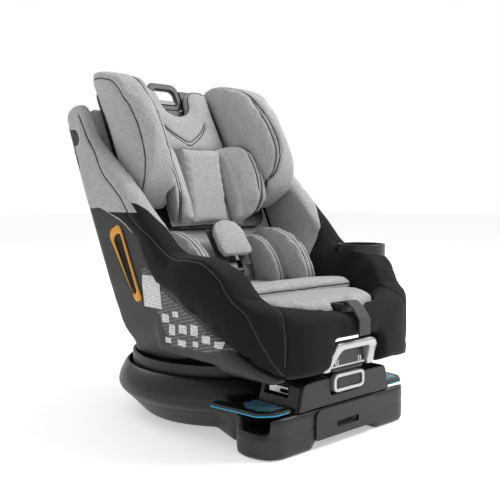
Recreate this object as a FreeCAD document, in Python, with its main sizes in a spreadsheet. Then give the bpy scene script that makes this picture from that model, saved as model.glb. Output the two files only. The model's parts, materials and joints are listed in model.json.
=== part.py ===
"""Rotating convertible car seat: a base with a foot, a turntable, a reclining seat and a sliding headrest.

Frame: millimetres, +Z up, the child faces -Y, +X is the child's left (the cup holder's side), and the
origin lies on the floor, on the turntable's axis.
"""

import FreeCAD, Part

import math
import os

from FreeCAD import Placement, Rotation, Vector

SIZES = {
    # base
    "tray_height": 34,
    "tray_radius_low": 146,
    "tray_radius_high": 178,
    "tray_wall": 6,
    "tray_floor": 5,
    "bowl_wall": 6,
    "rim_radius": 177,
    "rim_height": 91,
    "belly_radius": 197,
    "belly_height": 50,
    "foot_half_width": 168,
    "foot_front": -278,
    "foot_back": -196,
    "foot_corner": 38,
    "foot_height": 62,
    "neck_half_width": 132,
    "neck_height": 60,
    "arch_half_width": 67,
    "arch_rise": 12,
    "panel_half_width": 72,
    "panel_thick": 3,
    "slot_half_width": 26,
    "slot_low": 26,
    "slot_high": 36,
    "pad_radius": 14,
    "pad_thick": 2,
    "post_radius": 66,
    "post_height": 55,
    "bearing_outer": 64,
    "bearing_inner": 40,
    "bearing_thick": 6,
    "channel_front": -266,
    "channel_back": -214,
    "channel_low": 38,
    "channel_high": 57,
    "channel_inner": 104,
    # tower on the foot
    "tower_foot_half_width": 106,
    "tower_top_half_width": 96,
    "tower_height": 103,
    "tower_back": -192,
    "plate_thick": 3.5,
    "lid_low": 63.5,
    "lid_thick": 6,
    "lid_hinge_x": 114,
    "lid_hinge_z": 66.5,
    # recline handle
    "recline_half_width": 35.5,
    "recline_low": 80,
    "recline_high": 107,
    "recline_frame_back": -274,
    "recline_frame_depth": 10,
    "recline_paddle_back": -265,
    "recline_paddle_depth": 16,
    # turntable
    "disc_radius": 160,
    "disc_low": 61.5,
    "disc_thick": 10,
    "skirt_radius": 168,
    "skirt_foot_radius": 150,
    "skirt_high": 106,
    "cradle_half_width": 118,
    "cradle_half_length": 112,
    "cradle_arc": 375,
    "rail_arc": 371.5,
    "rail_offset": 95,
    "rail_width": 14,
    "housing_half_width": 37,
    "housing_low": 109.5,
    "housing_high": 143,
    "housing_front": -280,
    "housing_back": -262,
    "bar_low_half_width": 60,
    "bar_top_half_width": 46,
    "bar_thick": 13,
    "bar_low": 112,
    "bar_high": 159,
    "bar_front": -298,
    "hinge_y": -277,
    "hinge_z": 118,
    "hinge_radius": 2.5,
    "pin_half_length": 54,
    # seat
    "recline_axis_z": 480,
    "shell_arc": 370.5,
    "shell_half_width": 205,
    "shell_inner": 192,
    "cover_half_width": 214,
    "bucket_half_width": 132,
    "pan_height": 180,
    "cushion_top": 215,
    "lean": 27,
    "lean_y": 2,
    "lean_z": 190,
    # harness adjuster
    "bezel_half_width": 21.5,
    "bezel_front": -284,
    "bezel_back": -262,
    "bezel_low": 196,
    "bezel_high": 213,
    "bezel_hole_half_width": 15,
    "bezel_hole_front": -281,
    "bezel_hole_back": -265,
    "lever_half_width": 12.5,
    "lever_length": 7.5,
    "lever_thick": 3.5,
    "lever_y": -267.5,
    "lever_z": 206.75,
    # headrest
    "head_plate_half_width": 150,
    "head_plate_thick": 12,
    # cup holder
    "cup_x": 188,
    "cup_y": -152,
    "cup_radius": 43,
    "cup_top": 288,
}

doc = FreeCAD.newDocument("CarSeat")
sheet = doc.addObject("Spreadsheet::Sheet", "Sizes")
NODES = []


def fill_sheet():
    """Writes every driving size into the sheet, each with its alias."""
    for row, (alias, value) in enumerate(SIZES.items(), start=1):
        sheet.set("A%d" % row, alias)
        sheet.set("B%d" % row, str(value))
        sheet.setAlias("B%d" % row, alias)
    doc.recompute()


def size(alias):
    """One size from the sheet."""
    return float(sheet.get(alias))


# ---------------------------------------------------------------- outlines and plain shapes

PLANES = {
    "XY": lambda a, b, c: Vector(a, b, c),
    "XZ": lambda a, b, c: Vector(a, c, b),
    "YZ": lambda a, b, c: Vector(c, a, b),
}


def corner(before, here, after, radius):
    """The two tangent points of a rounded corner and the middle of its arc, or only the corner itself."""
    back = (before - here).normalize()
    ahead = (after - here).normalize()
    half = back.getAngle(ahead) / 2
    reach = min(
        radius / math.tan(half),
        0.48 * (before - here).Length,
        0.48 * (after - here).Length,
    )
    if reach < 0.05 or half > math.radians(89):
        return [here]
    bisector = (back + ahead).normalize()
    arc_radius = reach * math.tan(half)
    middle = here + bisector * (arc_radius / math.sin(half) - arc_radius)
    return [here + back * reach, middle, here + ahead * reach]


def outline(plane, points, radius, level):
    """A closed wire through the points on a plane at a level, its corners rounded."""
    place = PLANES[plane]
    spots = [place(p[0], p[1], level) for p in points]
    radii = [p[2] if len(p) > 2 else radius for p in points]
    count = len(spots)
    corners = [corner(spots[i - 1], spots[i], spots[(i + 1) % count], radii[i]) for i in range(count)]
    edges = []
    for i, turn in enumerate(corners):
        following = corners[(i + 1) % count]
        if len(turn) == 3:
            edges.append(Part.Arc(*turn).toShape())
        if (following[0] - turn[-1]).Length > 1e-4:
            edges.append(Part.LineSegment(turn[-1], following[0]).toShape())
    return Part.Wire(edges)


def slab(plane, points, radius, start, end):
    """An outline pushed from one level to another, along the plane's normal."""
    face = Part.Face(outline(plane, points, radius, start))
    return face.extrude(PLANES[plane](0, 0, end - start))


def block(x0, x1, y0, y1, z0, z1):
    """A plain box between two corners."""
    return Part.makeBox(x1 - x0, y1 - y0, z1 - z0, Vector(x0, y0, z0))


def rod(radius, start, end):
    """A cylinder from one point to another."""
    axis = end - start
    return Part.makeCylinder(radius, axis.Length, start, axis)


def mirrored(points):
    """An outline's right half, given from bottom to top, with its mirror image."""
    return list(points) + [(-p[0],) + tuple(p[1:]) for p in reversed(points) if p[0]]


def across(shape):
    """The shape's mirror image in the plane X = 0."""
    return shape.mirror(Vector(0, 0, 0), Vector(1, 0, 0))


def softened(shape, radius):
    """The shape with all its edges rounded."""
    return shape.makeFillet(radius, shape.Edges)


def lean_placement():
    """Turns a piece made upright, its back on Y = 0 and facing -Y, to lie on the leaning backrest."""
    return Placement(Vector(0, size("lean_y"), size("lean_z")), Rotation(Vector(1, 0, 0), -size("lean")))


def leaning(shape):
    """A piece moved from the backrest's own frame to the seat's."""
    moved = shape.copy()
    moved.Placement = lean_placement().multiply(shape.Placement)
    return moved


def arc_cylinder(radius, half_width):
    """A cylinder about the recline axis."""
    centre = Vector(-half_width, 0, size("recline_axis_z"))
    return Part.makeCylinder(radius, 2 * half_width, centre, Vector(1, 0, 0))


# ---------------------------------------------------------------- document objects


def node(obj, label):
    """Names an object and keeps it for export."""
    obj.Label = label
    NODES.append(obj)
    return obj


def piece(label, shape):
    """A sub-part whose shape is worked out here."""
    obj = doc.addObject("Part::Feature", label)
    obj.Shape = shape.removeSplitter()
    obj.Placement = Placement()
    return node(obj, label)


def sketch_on(body, role, wires):
    """A sketch on one of a body's origin planes, drawn from wires given in the sketch's own frame."""
    plane = [f for f in body.Origin.OriginFeatures if f.Role == role][0]
    sketch = body.newObject("Sketcher::SketchObject", body.Name + "_sketch")
    sketch.AttachmentSupport = (plane, [""])
    sketch.MapMode = "FlatFace"
    for wire in wires:
        for edge in wire.Edges:
            start = edge.Vertexes[0].Point
            end = edge.Vertexes[-1].Point
            if isinstance(edge.Curve, Part.Circle):
                middle = edge.valueAt((edge.FirstParameter + edge.LastParameter) / 2)
                sketch.addGeometry(Part.Arc(start, middle, end), False)
            else:
                sketch.addGeometry(Part.LineSegment(start, end), False)
    return sketch


def turned_body(label, profile, radius=0):
    """A body revolved about +Z from its profile of radius and height."""
    body = doc.addObject("PartDesign::Body", label)
    sketch = sketch_on(body, "XZ_Plane", [outline("XY", profile, radius, 0)])
    turn = body.newObject("PartDesign::Revolution", label + "_turn")
    turn.Profile = sketch
    turn.ReferenceAxis = (sketch, ["V_Axis"])
    turn.Angle = 360
    return node(body, label)


def padded_body(label, role, wires, length, place):
    """A body padded from closed wires by a length bound to the sheet, at a place bound to it too."""
    body = doc.addObject("PartDesign::Body", label)
    sketch = sketch_on(body, role, wires)
    pad = body.newObject("PartDesign::Pad", label + "_pad")
    pad.Profile = sketch
    pad.setExpression("Length", length)
    for axis, formula in place.items():
        body.setExpression("Placement.Base." + axis, formula)
    return node(body, label)


def bound(obj, formulas):
    """Binds an object's properties to formulas of the sheet."""
    for name, formula in formulas.items():
        obj.setExpression(name, formula)
    return obj


def bound_box(name, corner, lengths):
    """A box whose lowest corner and lengths are formulas of the sheet."""
    formulas = dict(zip(("Placement.Base.x", "Placement.Base.y", "Placement.Base.z"), corner))
    formulas.update(zip(("Length", "Width", "Height"), lengths))
    return bound(doc.addObject("Part::Box", name), formulas)


def bound_rod(name, radius, length, start, along=Vector(0, 0, 1)):
    """A cylinder whose radius, length and start are formulas of the sheet."""
    obj = doc.addObject("Part::Cylinder", name)
    obj.Placement = Placement(Vector(), Rotation(Vector(0, 0, 1), along))
    formulas = dict(zip(("Placement.Base.x", "Placement.Base.y", "Placement.Base.z"), start))
    formulas.update({"Radius": radius, "Height": length})
    return bound(obj, formulas)


def cut_node(label, body, tool):
    """One object cut from another."""
    obj = doc.addObject("Part::Cut", label)
    obj.Base = body
    obj.Tool = tool
    return node(obj, label)


def fused_node(label, members):
    """Several objects fused."""
    obj = doc.addObject("Part::MultiFuse", label)
    obj.Shapes = members
    return node(obj, label)


# ---------------------------------------------------------------- base


def rounded_foot(low, high, inset=0):
    """The foot's plan, with round corners, between two heights."""
    x = size("foot_half_width") - inset
    front = size("foot_front") + inset
    back = size("foot_back") - inset
    points = [(x, front), (x, back, size("foot_corner") / 1.5), (-x, back, size("foot_corner") / 1.5), (-x, front)]
    return slab("XY", points, size("foot_corner") - inset / 2, low, high)


PAD_SPOTS = [(125, -240), (-125, -240), (86, 84), (-86, 84)]


def finger_slot():
    """The slot through the foot's front panel."""
    x = size("slot_half_width")
    front = size("foot_front")
    points = [(-x, size("slot_low")), (x, size("slot_low")), (x, size("slot_high")), (-x, size("slot_high"))]
    return slab("XZ", points, 3, front - 5, front + 10)


def neck_block(half, front, low, high):
    """The neck between the pan and the foot, narrower where it runs into the pan."""
    plan = [(half, front), (half, -160), (half - 24, -90), (24 - half, -90), (-half, -160), (-half, front)]
    return slab("XY", plan, 1, low, high)


def make_tray():
    """The moulding that stands on the vehicle's seat: a round pan, a neck and the foot."""
    top = size("tray_height")
    wall = size("tray_wall")
    floor = size("tray_floor")
    neck = size("neck_half_width")
    low = size("tray_radius_low")
    high = size("tray_radius_high")
    outside = Part.makeCone(low, high, top)
    outside = outside.fuse([neck_block(neck, -210, 0, top), rounded_foot(0, top)])
    inside = Part.makeCone(low - wall, high - wall, top - floor, Vector(0, 0, floor))
    neck_inside = neck_block(neck - wall, -200, floor, top)
    foot_inside = rounded_foot(floor + size("arch_rise"), top, wall + 2)
    foot_inside = foot_inside.cut(block(-60, 60, -275, -262, 0, top))
    tray = outside.cut([inside, neck_inside, foot_inside])
    arch = size("arch_half_width")
    rise = size("arch_rise")
    arch_points = [(-arch - 10, -1), (-arch, rise), (arch, rise), (arch + 10, -1)]
    tray = tray.cut([slab("XZ", arch_points, 3, size("foot_front") - 5, -238), finger_slot()])
    post = rod(size("post_radius"), Vector(0, 0, floor / 2), Vector(0, 0, size("post_height")))
    piece("base_tray", tray.fuse(post).cut(pad_solids()))


def pad_solids():
    """The four rubber pads, flush with the tray's underside."""
    radius = size("pad_radius")
    return [rod(radius, Vector(x, y, 0), Vector(x, y, size("pad_thick"))) for x, y in PAD_SPOTS]


def bowl_profile():
    """Radius and height along the bowl's wall, outside then inside."""
    wall = size("bowl_wall")
    outer = [
        (size("tray_radius_high"), size("tray_height")),
        (size("belly_radius"), size("belly_height"), 30),
        (size("rim_radius") + 9, size("rim_height") - 14, 30),
        (size("rim_radius"), size("rim_height"), 2),
    ]
    inner = [(radius - wall, height, *rest) for radius, height, *rest in outer]
    return outer + inner[::-1]


def filled_bowl():
    """The space that the bowl takes, filled in, to clear its neighbours."""
    outer = [p[:2] for p in bowl_profile()[:4]]
    low = (0, size("tray_height"))
    wire = Part.makePolygon([Vector(r, 0, z) for r, z in [low] + outer + [(0, size("rim_height")), low]])
    return Part.Face(wire).revolve(Vector(0, 0, 0), Vector(0, 0, 1), 360)


def make_base():
    """Tray, bowl, feet, bearing, foot cover, panel, tower and side plates."""
    make_tray()
    turned_body("base_bowl", bowl_profile(), 6)
    piece("rubber_pads", Part.Compound(pad_solids()))
    at_post = ("0", "0", "Sizes.post_height")
    ring = bound_rod("bearing_disc", "Sizes.bearing_outer", "Sizes.bearing_thick", at_post)
    hole = bound_rod("bearing_hole", "Sizes.bearing_inner", "Sizes.bearing_thick", at_post)
    cut_node("bearing_ring", ring, hole)
    bowl = filled_bowl()
    neck = size("neck_half_width")
    deck = block(-neck, neck, size("foot_back") - 4, -110, size("tray_height"), size("neck_height")).cut(bowl)
    make_foot_cover(deck)
    make_foot_panel()
    make_tower(bowl)


def make_foot_cover(deck):
    """The foot's upper moulding and neck, with the vehicle belt's channel across it, open on top outboard."""
    channel = [
        (size("channel_front"), size("channel_low")),
        (size("channel_back"), size("channel_low")),
        (size("channel_back"), size("channel_high")),
        (size("channel_front"), size("channel_high")),
    ]
    reach = size("foot_half_width") + 5
    cover = rounded_foot(size("tray_height"), size("foot_height")).fuse(deck)
    cover = cover.cut(slab("YZ", channel, 6, -reach, reach))
    for side in (-1, 1):
        near = side * size("channel_inner")
        far = side * reach
        top = block(min(near, far), max(near, far), -266, -214, 50, 70)
        cover = cover.cut(top)
    piece("foot_cover", cover.cut(finger_slot()))


def make_foot_panel():
    """The panel on the foot's front, with a finger slot."""
    x = size("panel_half_width")
    s = size("slot_half_width")
    plate = outline("XY", [(-x, 14, 4), (x, 14, 4), (x, 59, 12), (-x, 59, 12)], 4, 0)
    low = size("slot_low")
    high = size("slot_high")
    slot = outline("XY", [(-s, low), (s, low), (s, high), (-s, high)], 3, 0)
    place = {"y": "Sizes.foot_front"}
    padded_body("foot_panel", "XZ_Plane", [plate, slot], "Sizes.panel_thick", place)


def connector_pocket(side):
    """The pocket in the tower's side where a lower anchor connector is stowed."""
    near, far = sorted((side * 80, side * 115))
    return block(near, far, -253, -203, 79, 96)


def make_tower(bowl):
    """The block on the foot with both handles' housings, its side plates and the stowed connectors."""
    foot = size("tower_foot_half_width")
    top = size("tower_top_half_width")
    low = size("foot_height")
    high = size("tower_height")
    front = size("foot_front")
    plan = [(-foot, low, 0), (foot, low, 0), (top, high), (-top, high)]
    tower = slab("XZ", plan, 9, front, size("tower_back")).cut(bowl)
    grip = size("recline_half_width") + 2
    tower = tower.cut(block(-grip, grip, front - 1, -262, size("recline_low") - 3, high + 5))
    tower = tower.cut([connector_pocket(-1), connector_pocket(1)])
    piece("latch_tower", tower)
    thick = size("plate_thick")
    plate = [(foot, low), (foot + thick, low), (top + thick, high - 5), (top + 0.9, high - 5)]
    right = slab("XZ", plate, 1, front + 4, size("tower_back") - 4).cut([tower, connector_pocket(1)])
    piece("side_plate_right", across(right))
    piece("side_plate_left", right)
    for side, name in ((-1, "right"), (1, "left")):
        piece("anchor_connector_" + name, connector(side))


def connector(side):
    """A lower anchor connector lying in its pocket: a body with a jaw towards the front."""
    near, far = sorted((side * 84, side * 99))
    body = block(near, far, -248, -208, 81, 94)
    body = softened(body, 2)
    jaw = slab("YZ", [(-250, 84), (-232, 84), (-232, 90), (-250, 90)], 2, near - 1, far + 1)
    return body.cut(jaw)


LID_PLAN = [
    (114, -270, 1), (146, -270, 16), (168, -254, 20), (172, -214, 30), (180, -166, 10), (162, -160, 8), (150, -188, 20),
    (114, -190, 1),
]


def make_lids():
    """The hinged lids over the belt channel's two open ends, each with a bright line along its edge."""
    low = size("lid_low")
    high = low + size("lid_thick")
    hinge = size("lid_hinge_x")
    start = Vector(hinge, -264, size("lid_hinge_z"))
    lid = slab("XY", LID_PLAN, 5, low, high).fuse(rod(2.4, start, start + Vector(0, 78, 0)))
    wider = [(p[0] + 1.5, p[1] - 1.5 if p[1] < -230 else p[1] + 1.5, p[2]) for p in LID_PLAN]
    rim = slab("XY", wider, 5, low, low + 2.5).cut(block(100, 119, -280, -170, 60, 75))
    groove = slab("XY", LID_PLAN, 5, low - 1, high)
    trim = rim.cut(groove)
    for side, name in ((-1, "right"), (1, "left")):
        piece("belt_lid_" + name, lid if side > 0 else across(lid))
        piece("belt_trim_" + name, trim if side > 0 else across(trim))


def make_recline_handle():
    """The pull on the tower's front that frees the recline: a dark paddle in a bright frame."""
    x = size("recline_half_width")
    low = size("recline_low")
    high = size("recline_high")
    outer = outline("XY", [(-x, low), (x, low), (x, high), (-x, high)], 8, 0)
    rim = 5
    hole = [(rim - x, low + rim), (x - rim, low + rim), (x - rim, high - rim), (rim - x, high - rim)]
    gap = 0.2
    grip = [(a - math.copysign(gap, a), b + (gap if b < 90 else -gap)) for a, b in hole]
    wires = [outer, outline("XY", hole, 5, 0)]
    at_back = {"y": "Sizes.recline_frame_back"}
    padded_body("recline_frame", "XZ_Plane", wires, "Sizes.recline_frame_depth", at_back)
    at_back = {"y": "Sizes.recline_paddle_back"}
    wires = [outline("XY", grip, 5, 0)]
    padded_body("recline_paddle", "XZ_Plane", wires, "Sizes.recline_paddle_depth", at_back)


# ---------------------------------------------------------------- turntable


def make_turntable():
    """Disc, skirt, saddle with its rails, and the arm that carries the rotation handle's housing."""
    top = size("disc_low") + size("disc_thick")
    skirt = size("skirt_radius")
    foot_radius = size("skirt_foot_radius")
    skirt_profile = [(foot_radius, top), (skirt, top), (skirt, size("skirt_high")), (skirt - 5, size("skirt_high"))]
    turned_body("turntable_skirt", skirt_profile + [(skirt - 5, top + 5), (foot_radius, top + 5)], 1)
    x = size("cradle_half_width")
    y = size("cradle_half_length")
    saddle = block(-x, x, -y, y, top + 5, 140).common(rod(160, Vector(0, 0, top), Vector(0, 0, 150)))
    saddle = saddle.cut(arc_cylinder(size("cradle_arc"), x + 10))
    foot = block(-x, x, -y, y, top, top + 5).common(rod(149, Vector(0, 0, top), Vector(0, 0, 150)))
    disc = rod(size("disc_radius"), Vector(0, 0, size("disc_low")), Vector(0, 0, top))
    saddle = saddle.fuse([foot, disc])
    piece("recline_saddle", saddle)
    rail_width = size("rail_width") / 2
    ring = arc_cylinder(size("cradle_arc"), rail_width).cut(arc_cylinder(size("rail_arc"), rail_width))
    rail = ring.common(block(-rail_width, rail_width, -y, y, 90, 140))
    rails = []
    for side in (-1, 1):
        moved = rail.copy()
        moved.translate(Vector(side * size("rail_offset"), 0, 0))
        rails.append(moved)
    piece("recline_rails", Part.Compound(rails))
    arm = block(-45, 45, size("housing_back") - 1, -y, 113.5, 120)
    make_housing(arm.cut(saddle))


def make_housing(arm):
    """The rotation handle's housing on its arm, with its boss and hinge pin."""
    x = size("housing_half_width")
    low = size("housing_low")
    high = size("housing_high")
    face = [(-x, low), (x, low), (x - 5, high), (5 - x, high)]
    housing = slab("XZ", face, 5, size("housing_front"), size("housing_back"))
    y = size("hinge_y")
    z = size("hinge_z")
    reach = size("pin_half_length")
    pin = rod(size("hinge_radius"), Vector(-reach, y, z), Vector(reach, y, z))
    piece("rotation_housing", housing.fuse(arm).cut(pin))
    start = ("-Sizes.pin_half_length", "Sizes.hinge_y", "Sizes.hinge_z")
    along = Vector(1, 0, 0)
    node(bound_rod("hinge_pin", "Sizes.hinge_radius", "2 * Sizes.pin_half_length", start, along), "hinge_pin")


def make_rotation_handle():
    """The bright bow that is pulled to turn the seat: narrower and further forward at its top."""
    low = size("bar_low")
    high = size("bar_high")
    thick = size("bar_thick")
    foot = size("bar_low_half_width")
    top = size("bar_top_half_width")
    outside = slab("XZ", [(-foot, low, 4), (foot, low, 4), (top, high, 16), (-top, high, 16)], 5, -320, -250)
    hole = [(thick - foot, low - 10), (foot - thick, low - 10), (top - thick, high - thick), (thick - top, high - thick)]
    inside = slab("XZ", hole, 7, -320, -250)
    front = size("bar_front")
    y = size("hinge_y")
    z = size("hinge_z")
    lean = [(y - 7, low), (y + 7, low), (y + 7, z + 5), (front + 14, high), (front, high), (front + 1, high - 14), (y - 7, z)]
    side = slab("YZ", lean, 5, -80, 80)
    hole = rod(size("hinge_radius") + 0.4, Vector(-80, y, z), Vector(80, y, z))
    piece("rotation_handle", outside.cut(inside).common(side).cut(hole))


# ---------------------------------------------------------------- seat

# outline of the covered seat from the side: Y, Z and a corner radius
SEAT_SIDE = [
    (62, 132, 12), (222, 480, 40), (206, 536, 24), (160, 538, 24), (118, 478, 60), (20, 406, 80),
    (-52, 338, 90), (-104, 286, 40), (-176, 284, 40), (-214, 262, 40), (-238, 226, 30), (-272, 211, 40),
    (-309, 192, 40), (-309, 122, 30), (-262, 107, 20), (-150, 107, 30), (-60, 108, 20), (40, 108, 14),
]
SHELL_SIDE = [
    (62, 128, 16), (216, 490, 20), (206, 521, 8), (160, 521, 10), (110, 460, 30), (20, 393, 60), (-50, 328, 60),
    (-106, 275, 30), (-172, 273, 30), (-206, 246, 30), (-236, 204, 20), (-262, 192, 10), (-262, 162, 8),
    (-190, 162, 0), (-190, 90, 0), (40, 90, 0),
]
COVER_FRONT = [(146, 107, 20), (194, 126, 50), (214, 190, 60), (214, 400, 60), (203, 500, 60), (196, 540, 12)]
SHELL_FRONT = [
    (120, 100, 20), (166, 112, 30), (196, 160, 50), (205, 235, 50), (205, 400, 50), (196, 500, 60), (190, 530, 12),
]
SEAT_PLAN = [(214, 260, 10), (214, -150, 90), (190, -256, 80), (116, -300, 90), (0, -309, 200)]
ARM_INSIDE = [
    (132, 60), (132, 218, 20), (146, 262, 40), (172, 300, 40), (178, 360, 40), (178, 700), (300, 700), (300, 60),
]
BACK_PLAN = [(216, -700, 0), (216, 18, 30), (196, 46, 30), (140, 63, 60)]
LOW_PLAN = [(216, -330, 0), (206, -30, 60), (165, 50, 40), (100, 66, 60)]


def rounded_back():
    """Room for the seat behind: its back is round from side to side, and rounder still below the pan."""
    upright = leaning(slab("XY", mirrored(BACK_PLAN), 10, -400, 700))
    return upright.fuse(slab("XY", mirrored(LOW_PLAN), 10, 60, 185))


def seat_envelope():
    """The covered seat's outside, rounded in all three views."""
    half = size("cover_half_width") + 2
    side = slab("YZ", SEAT_SIDE, 10, -half, half)
    front = slab("XZ", mirrored(COVER_FRONT), 10, -320, 260)
    plan = slab("XY", mirrored(SEAT_PLAN), 10, 60, 600)
    return side.common(front).common(plan).common(rounded_back())


def shell_envelope():
    """The shell's outside: round under the pan, about the recline axis."""
    half = size("shell_half_width") + 2
    side = slab("YZ", SHELL_SIDE, 10, -half, half)
    front = slab("XZ", mirrored(SHELL_FRONT), 10, -320, 260)
    plan = slab("XY", mirrored([(205, 260, 40), (205, -150, 60), (180, -262, 50)]), 10, 60, 600)
    block_under = block(-half, half, -190, 260, 60, 600).common(arc_cylinder(size("shell_arc"), half))
    block_front = block(-half, half, -320, -190, 160, 600)
    tall = block(-half, half, -10, 400, 300, 700)
    allowed = block_under.fuse([block_front, tall])
    return side.common(front).common(plan).common(allowed).common(rounded_back())


def back_slab(points, radius, start, end):
    """A piece drawn on the backrest: outline across and up it, from one depth to another, forwards."""
    return leaning(slab("XZ", points, radius, -end, -start))


def rectangle(x, low, high):
    """A symmetric rectangle's corners."""
    return [(-x, low), (x, low), (x, high), (-x, high)]


BELOW_COVER = [
    (400, 349), (84, 349), (20, 326), (-23, 302), (-41, 272), (-75, 239), (-118, 221), (-188, 181), (-246, 146),
    (-284, 110), (-292, 90), (400, 90),
]
BOLSTER_SIDE = [(400, 700), (-120, 700), (-120, 348), (-66, 348), (-66, 120), (400, 120)]
CUSHION_PLAN = [(132, 30, 0), (132, -206, 44), (96, -256, 60), (0, -284, 300)]
HANDLE_NOTCH = [(-66, 90), (66, 90), (52, 166), (-52, 166)]


def make_shell():
    """The seat's one-piece shell: a bucket with hollow back and hollow pan."""
    bucket = size("shell_inner")
    pan = size("pan_height")
    in_front = leaning(block(-bucket, bucket, -600, 14, -400, 600))
    hollow = in_front.common(block(-bucket, bucket, -400, 400, pan, 700))
    rear = back_slab(rectangle(138, 10, 350), 20, -90, -24)
    under = arc_cylinder(size("shell_arc") - 9, 132).common(block(-132, 132, -180, 50, 90, pan - 8))
    shell = shell_envelope().cut([hollow, rear, under])
    for side in (-1, 1):
        shell = shell.cut(belt_recess(side))
    return shell


BELT_OPENING = [(-34, 18), (-22, 18), (-12, 124), (-34, 124)]
BELT_FRAME = [(-40, 4), (-24, 4), (-2, 138), (-40, 138)]


def belt_recess(side):
    """The belt opening in the shell's side wall."""
    near, far = sorted((side * 196, side * 230))
    return leaning(slab("YZ", BELT_OPENING, 8, near, far))


def belt_frame(side, shell):
    """The bright frame around the belt opening."""
    near, far = sorted((side * 200, side * 208))
    outer = slab("YZ", BELT_FRAME, 12, near, far)
    return leaning(outer).cut([belt_recess(side), shell])


def cup_clearance():
    """The space that the cup holder drops into, open on top."""
    centre = Vector(size("cup_x"), size("cup_y"), 0)
    well = rod(38, centre + Vector(0, 0, 236), centre + Vector(0, 0, 400))
    return well.fuse(rod(size("cup_radius") + 1.5, centre + Vector(0, 0, 257), centre + Vector(0, 0, 400)))


def headrest_channel():
    """The space between the bolsters that the headrest slides in."""
    return leaning(block(-178, 178, -600, 14, 116, 900))


def beside(near, low=0, high=700):
    """Everything further out than a given X, on both sides, between two heights."""
    return block(near, 300, -300, 400, low, high).fuse(block(-300, -near, -300, 400, low, high))


def arm_space():
    """The left arm's and bolster's space: its inner wall leans outwards, with a collar round the cup holder."""
    arm = slab("XZ", ARM_INSIDE, 10, -400, 400)
    centre = Vector(size("cup_x"), size("cup_y"), 0)
    collar = rod(size("cup_radius") + 7, centre + Vector(0, 0, 150), centre + Vector(0, 0, 282))
    return arm, arm.fuse(collar)


def make_seat():
    """Shell, rear panel, covers, bolsters, cushion, front pad, belt frames and skirts."""
    shell = make_shell().cut(cup_clearance())
    panel = back_slab(rectangle(137, 40, 349), 18, -60, -54)
    piece("rear_panel", panel.fuse(back_slab(rectangle(26, 290, 322), 6, -64, -59)))
    outside = seat_envelope()
    below = slab("YZ", BELOW_COVER, 12, -300, 300)
    below = below.cut(block(-size("shell_inner"), size("shell_inner"), -255, 200, size("pan_height"), 400))
    light = slab("YZ", BOLSTER_SIDE, 0, -300, 300).cut(beside(size("shell_inner"), high=348))
    in_front = leaning(block(-300, 300, -700, 14, -400, 700)).fuse(beside(size("shell_half_width") - 1))
    in_front = in_front.fuse(block(-300, 300, 60, 300, 490, 700))
    arm, arm_with_collar = arm_space()
    side = outside.common(arm).cut([shell, headrest_channel()])
    frame_space = leaning(slab("YZ", BELT_FRAME, 12, 199, 230))
    bolster = side.common(light).common(in_front).cut(block(0, 300, -300, 300, 0, size("pan_height") + 1))
    skirt = side.common(below).cut([bolster, side.cut([light, below])])
    skirt = skirt.common(block(132, size("shell_half_width") - 6, -400, -60, 0, 190))
    skirt = skirt.cut([rod(192, Vector(0, 0, 0), Vector(0, 0, 116)), block(0, size("shell_inner"), -190, 0, 0, 300)])
    make_pair("bolster", bolster.cut(frame_space))
    plain = outside.common(arm).cut([across(shell), headrest_channel(), light, below, frame_space])
    piece("side_cover_right", across(plain))
    left = outside.common(arm_with_collar).cut([shell, headrest_channel(), light, below, frame_space, cup_clearance()])
    piece("side_cover_left", left)
    piece("seat_shell", shell.fuse([skirt, across(skirt)]))
    for sign, name in ((-1, "right"), (1, "left")):
        piece("belt_frame_" + name, belt_frame(sign, shell))
    make_cushions(outside, shell)


def make_pair(name, left):
    """A sub-part of the left side and its mirror image on the right."""
    piece(name + "_left", left)
    piece(name + "_right", across(left))


def adjuster_pocket():
    """The opening for the harness adjuster at the cushion's front."""
    return block(-22, 22, -284, -262, 192, 216)


def make_cushions(outside, shell):
    """Seat cushion, charcoal front pad and back pad."""
    half = size("bucket_half_width")
    cushion = slab("XY", mirrored(CUSHION_PLAN), 10, size("pan_height"), size("cushion_top")).common(outside)
    cushion = cushion.cut([shell, leaning(block(-200, 200, 2, 100, -100, 500)), adjuster_pocket()])
    piece("seat_cushion", cushion)
    front = outside.common(block(-half, half, -320, -200, 100, size("cushion_top")))
    notch = slab("XZ", HANDLE_NOTCH, 12, -330, -200)
    under = block(-half, half, -262, -190, 90, 162)
    front = front.cut([cushion, shell, notch, under, adjuster_pocket()])
    piece("front_pad", front)
    back = back_slab(rectangle(176, 118, 384), 14, -14, -2).fuse(back_slab(rectangle(half - 0.5, 10, 118), 2, -14, -2))
    piece("back_pad", back.cut([shell, cushion]))


# ---------------------------------------------------------------- insert, harness and buckle

INSERT_OUTER = [
    (8, 215, 2), (-104, 215, 10), (-99, 246, 30), (-77, 284, 40), (-44, 307, 40), (-12, 317, 30), (20, 318, 16),
    (48, 306, 6),
]
INSERT_INNER = [
    (8, 215, 2), (-62, 215, 10), (-56, 240, 30), (-41, 270, 40), (-14, 294, 30), (14, 305, 24), (42, 300, 8),
]
BAR_SIDE = [(-128, 215, 3), (-182, 215, 4), (-186, 226, 6), (-166, 236, 12), (-130, 234, 8)]


def make_insert():
    """The infant insert: two layers of side wings, a back panel and a front bar."""
    back_limit = leaning(block(-200, 200, 2, 300, -200, 600))
    outer = slab("YZ", INSERT_OUTER, 10, 100, 129).cut(back_limit)
    inner = slab("YZ", INSERT_INNER, 10, 72, 99).cut(back_limit)
    bar = slab("YZ", BAR_SIDE, 5, -127, 127)
    make_pair("insert_outer_wing", outer.cut(bar))
    make_pair("insert_inner_wing", inner.cut(bar))
    piece("insert_bar", bar)
    panel = back_slab(rectangle(70, 30, 118), 12, -2, 12).cut(block(-200, 200, -200, 200, 100, size("cushion_top")))
    piece("insert_back", panel)


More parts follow.
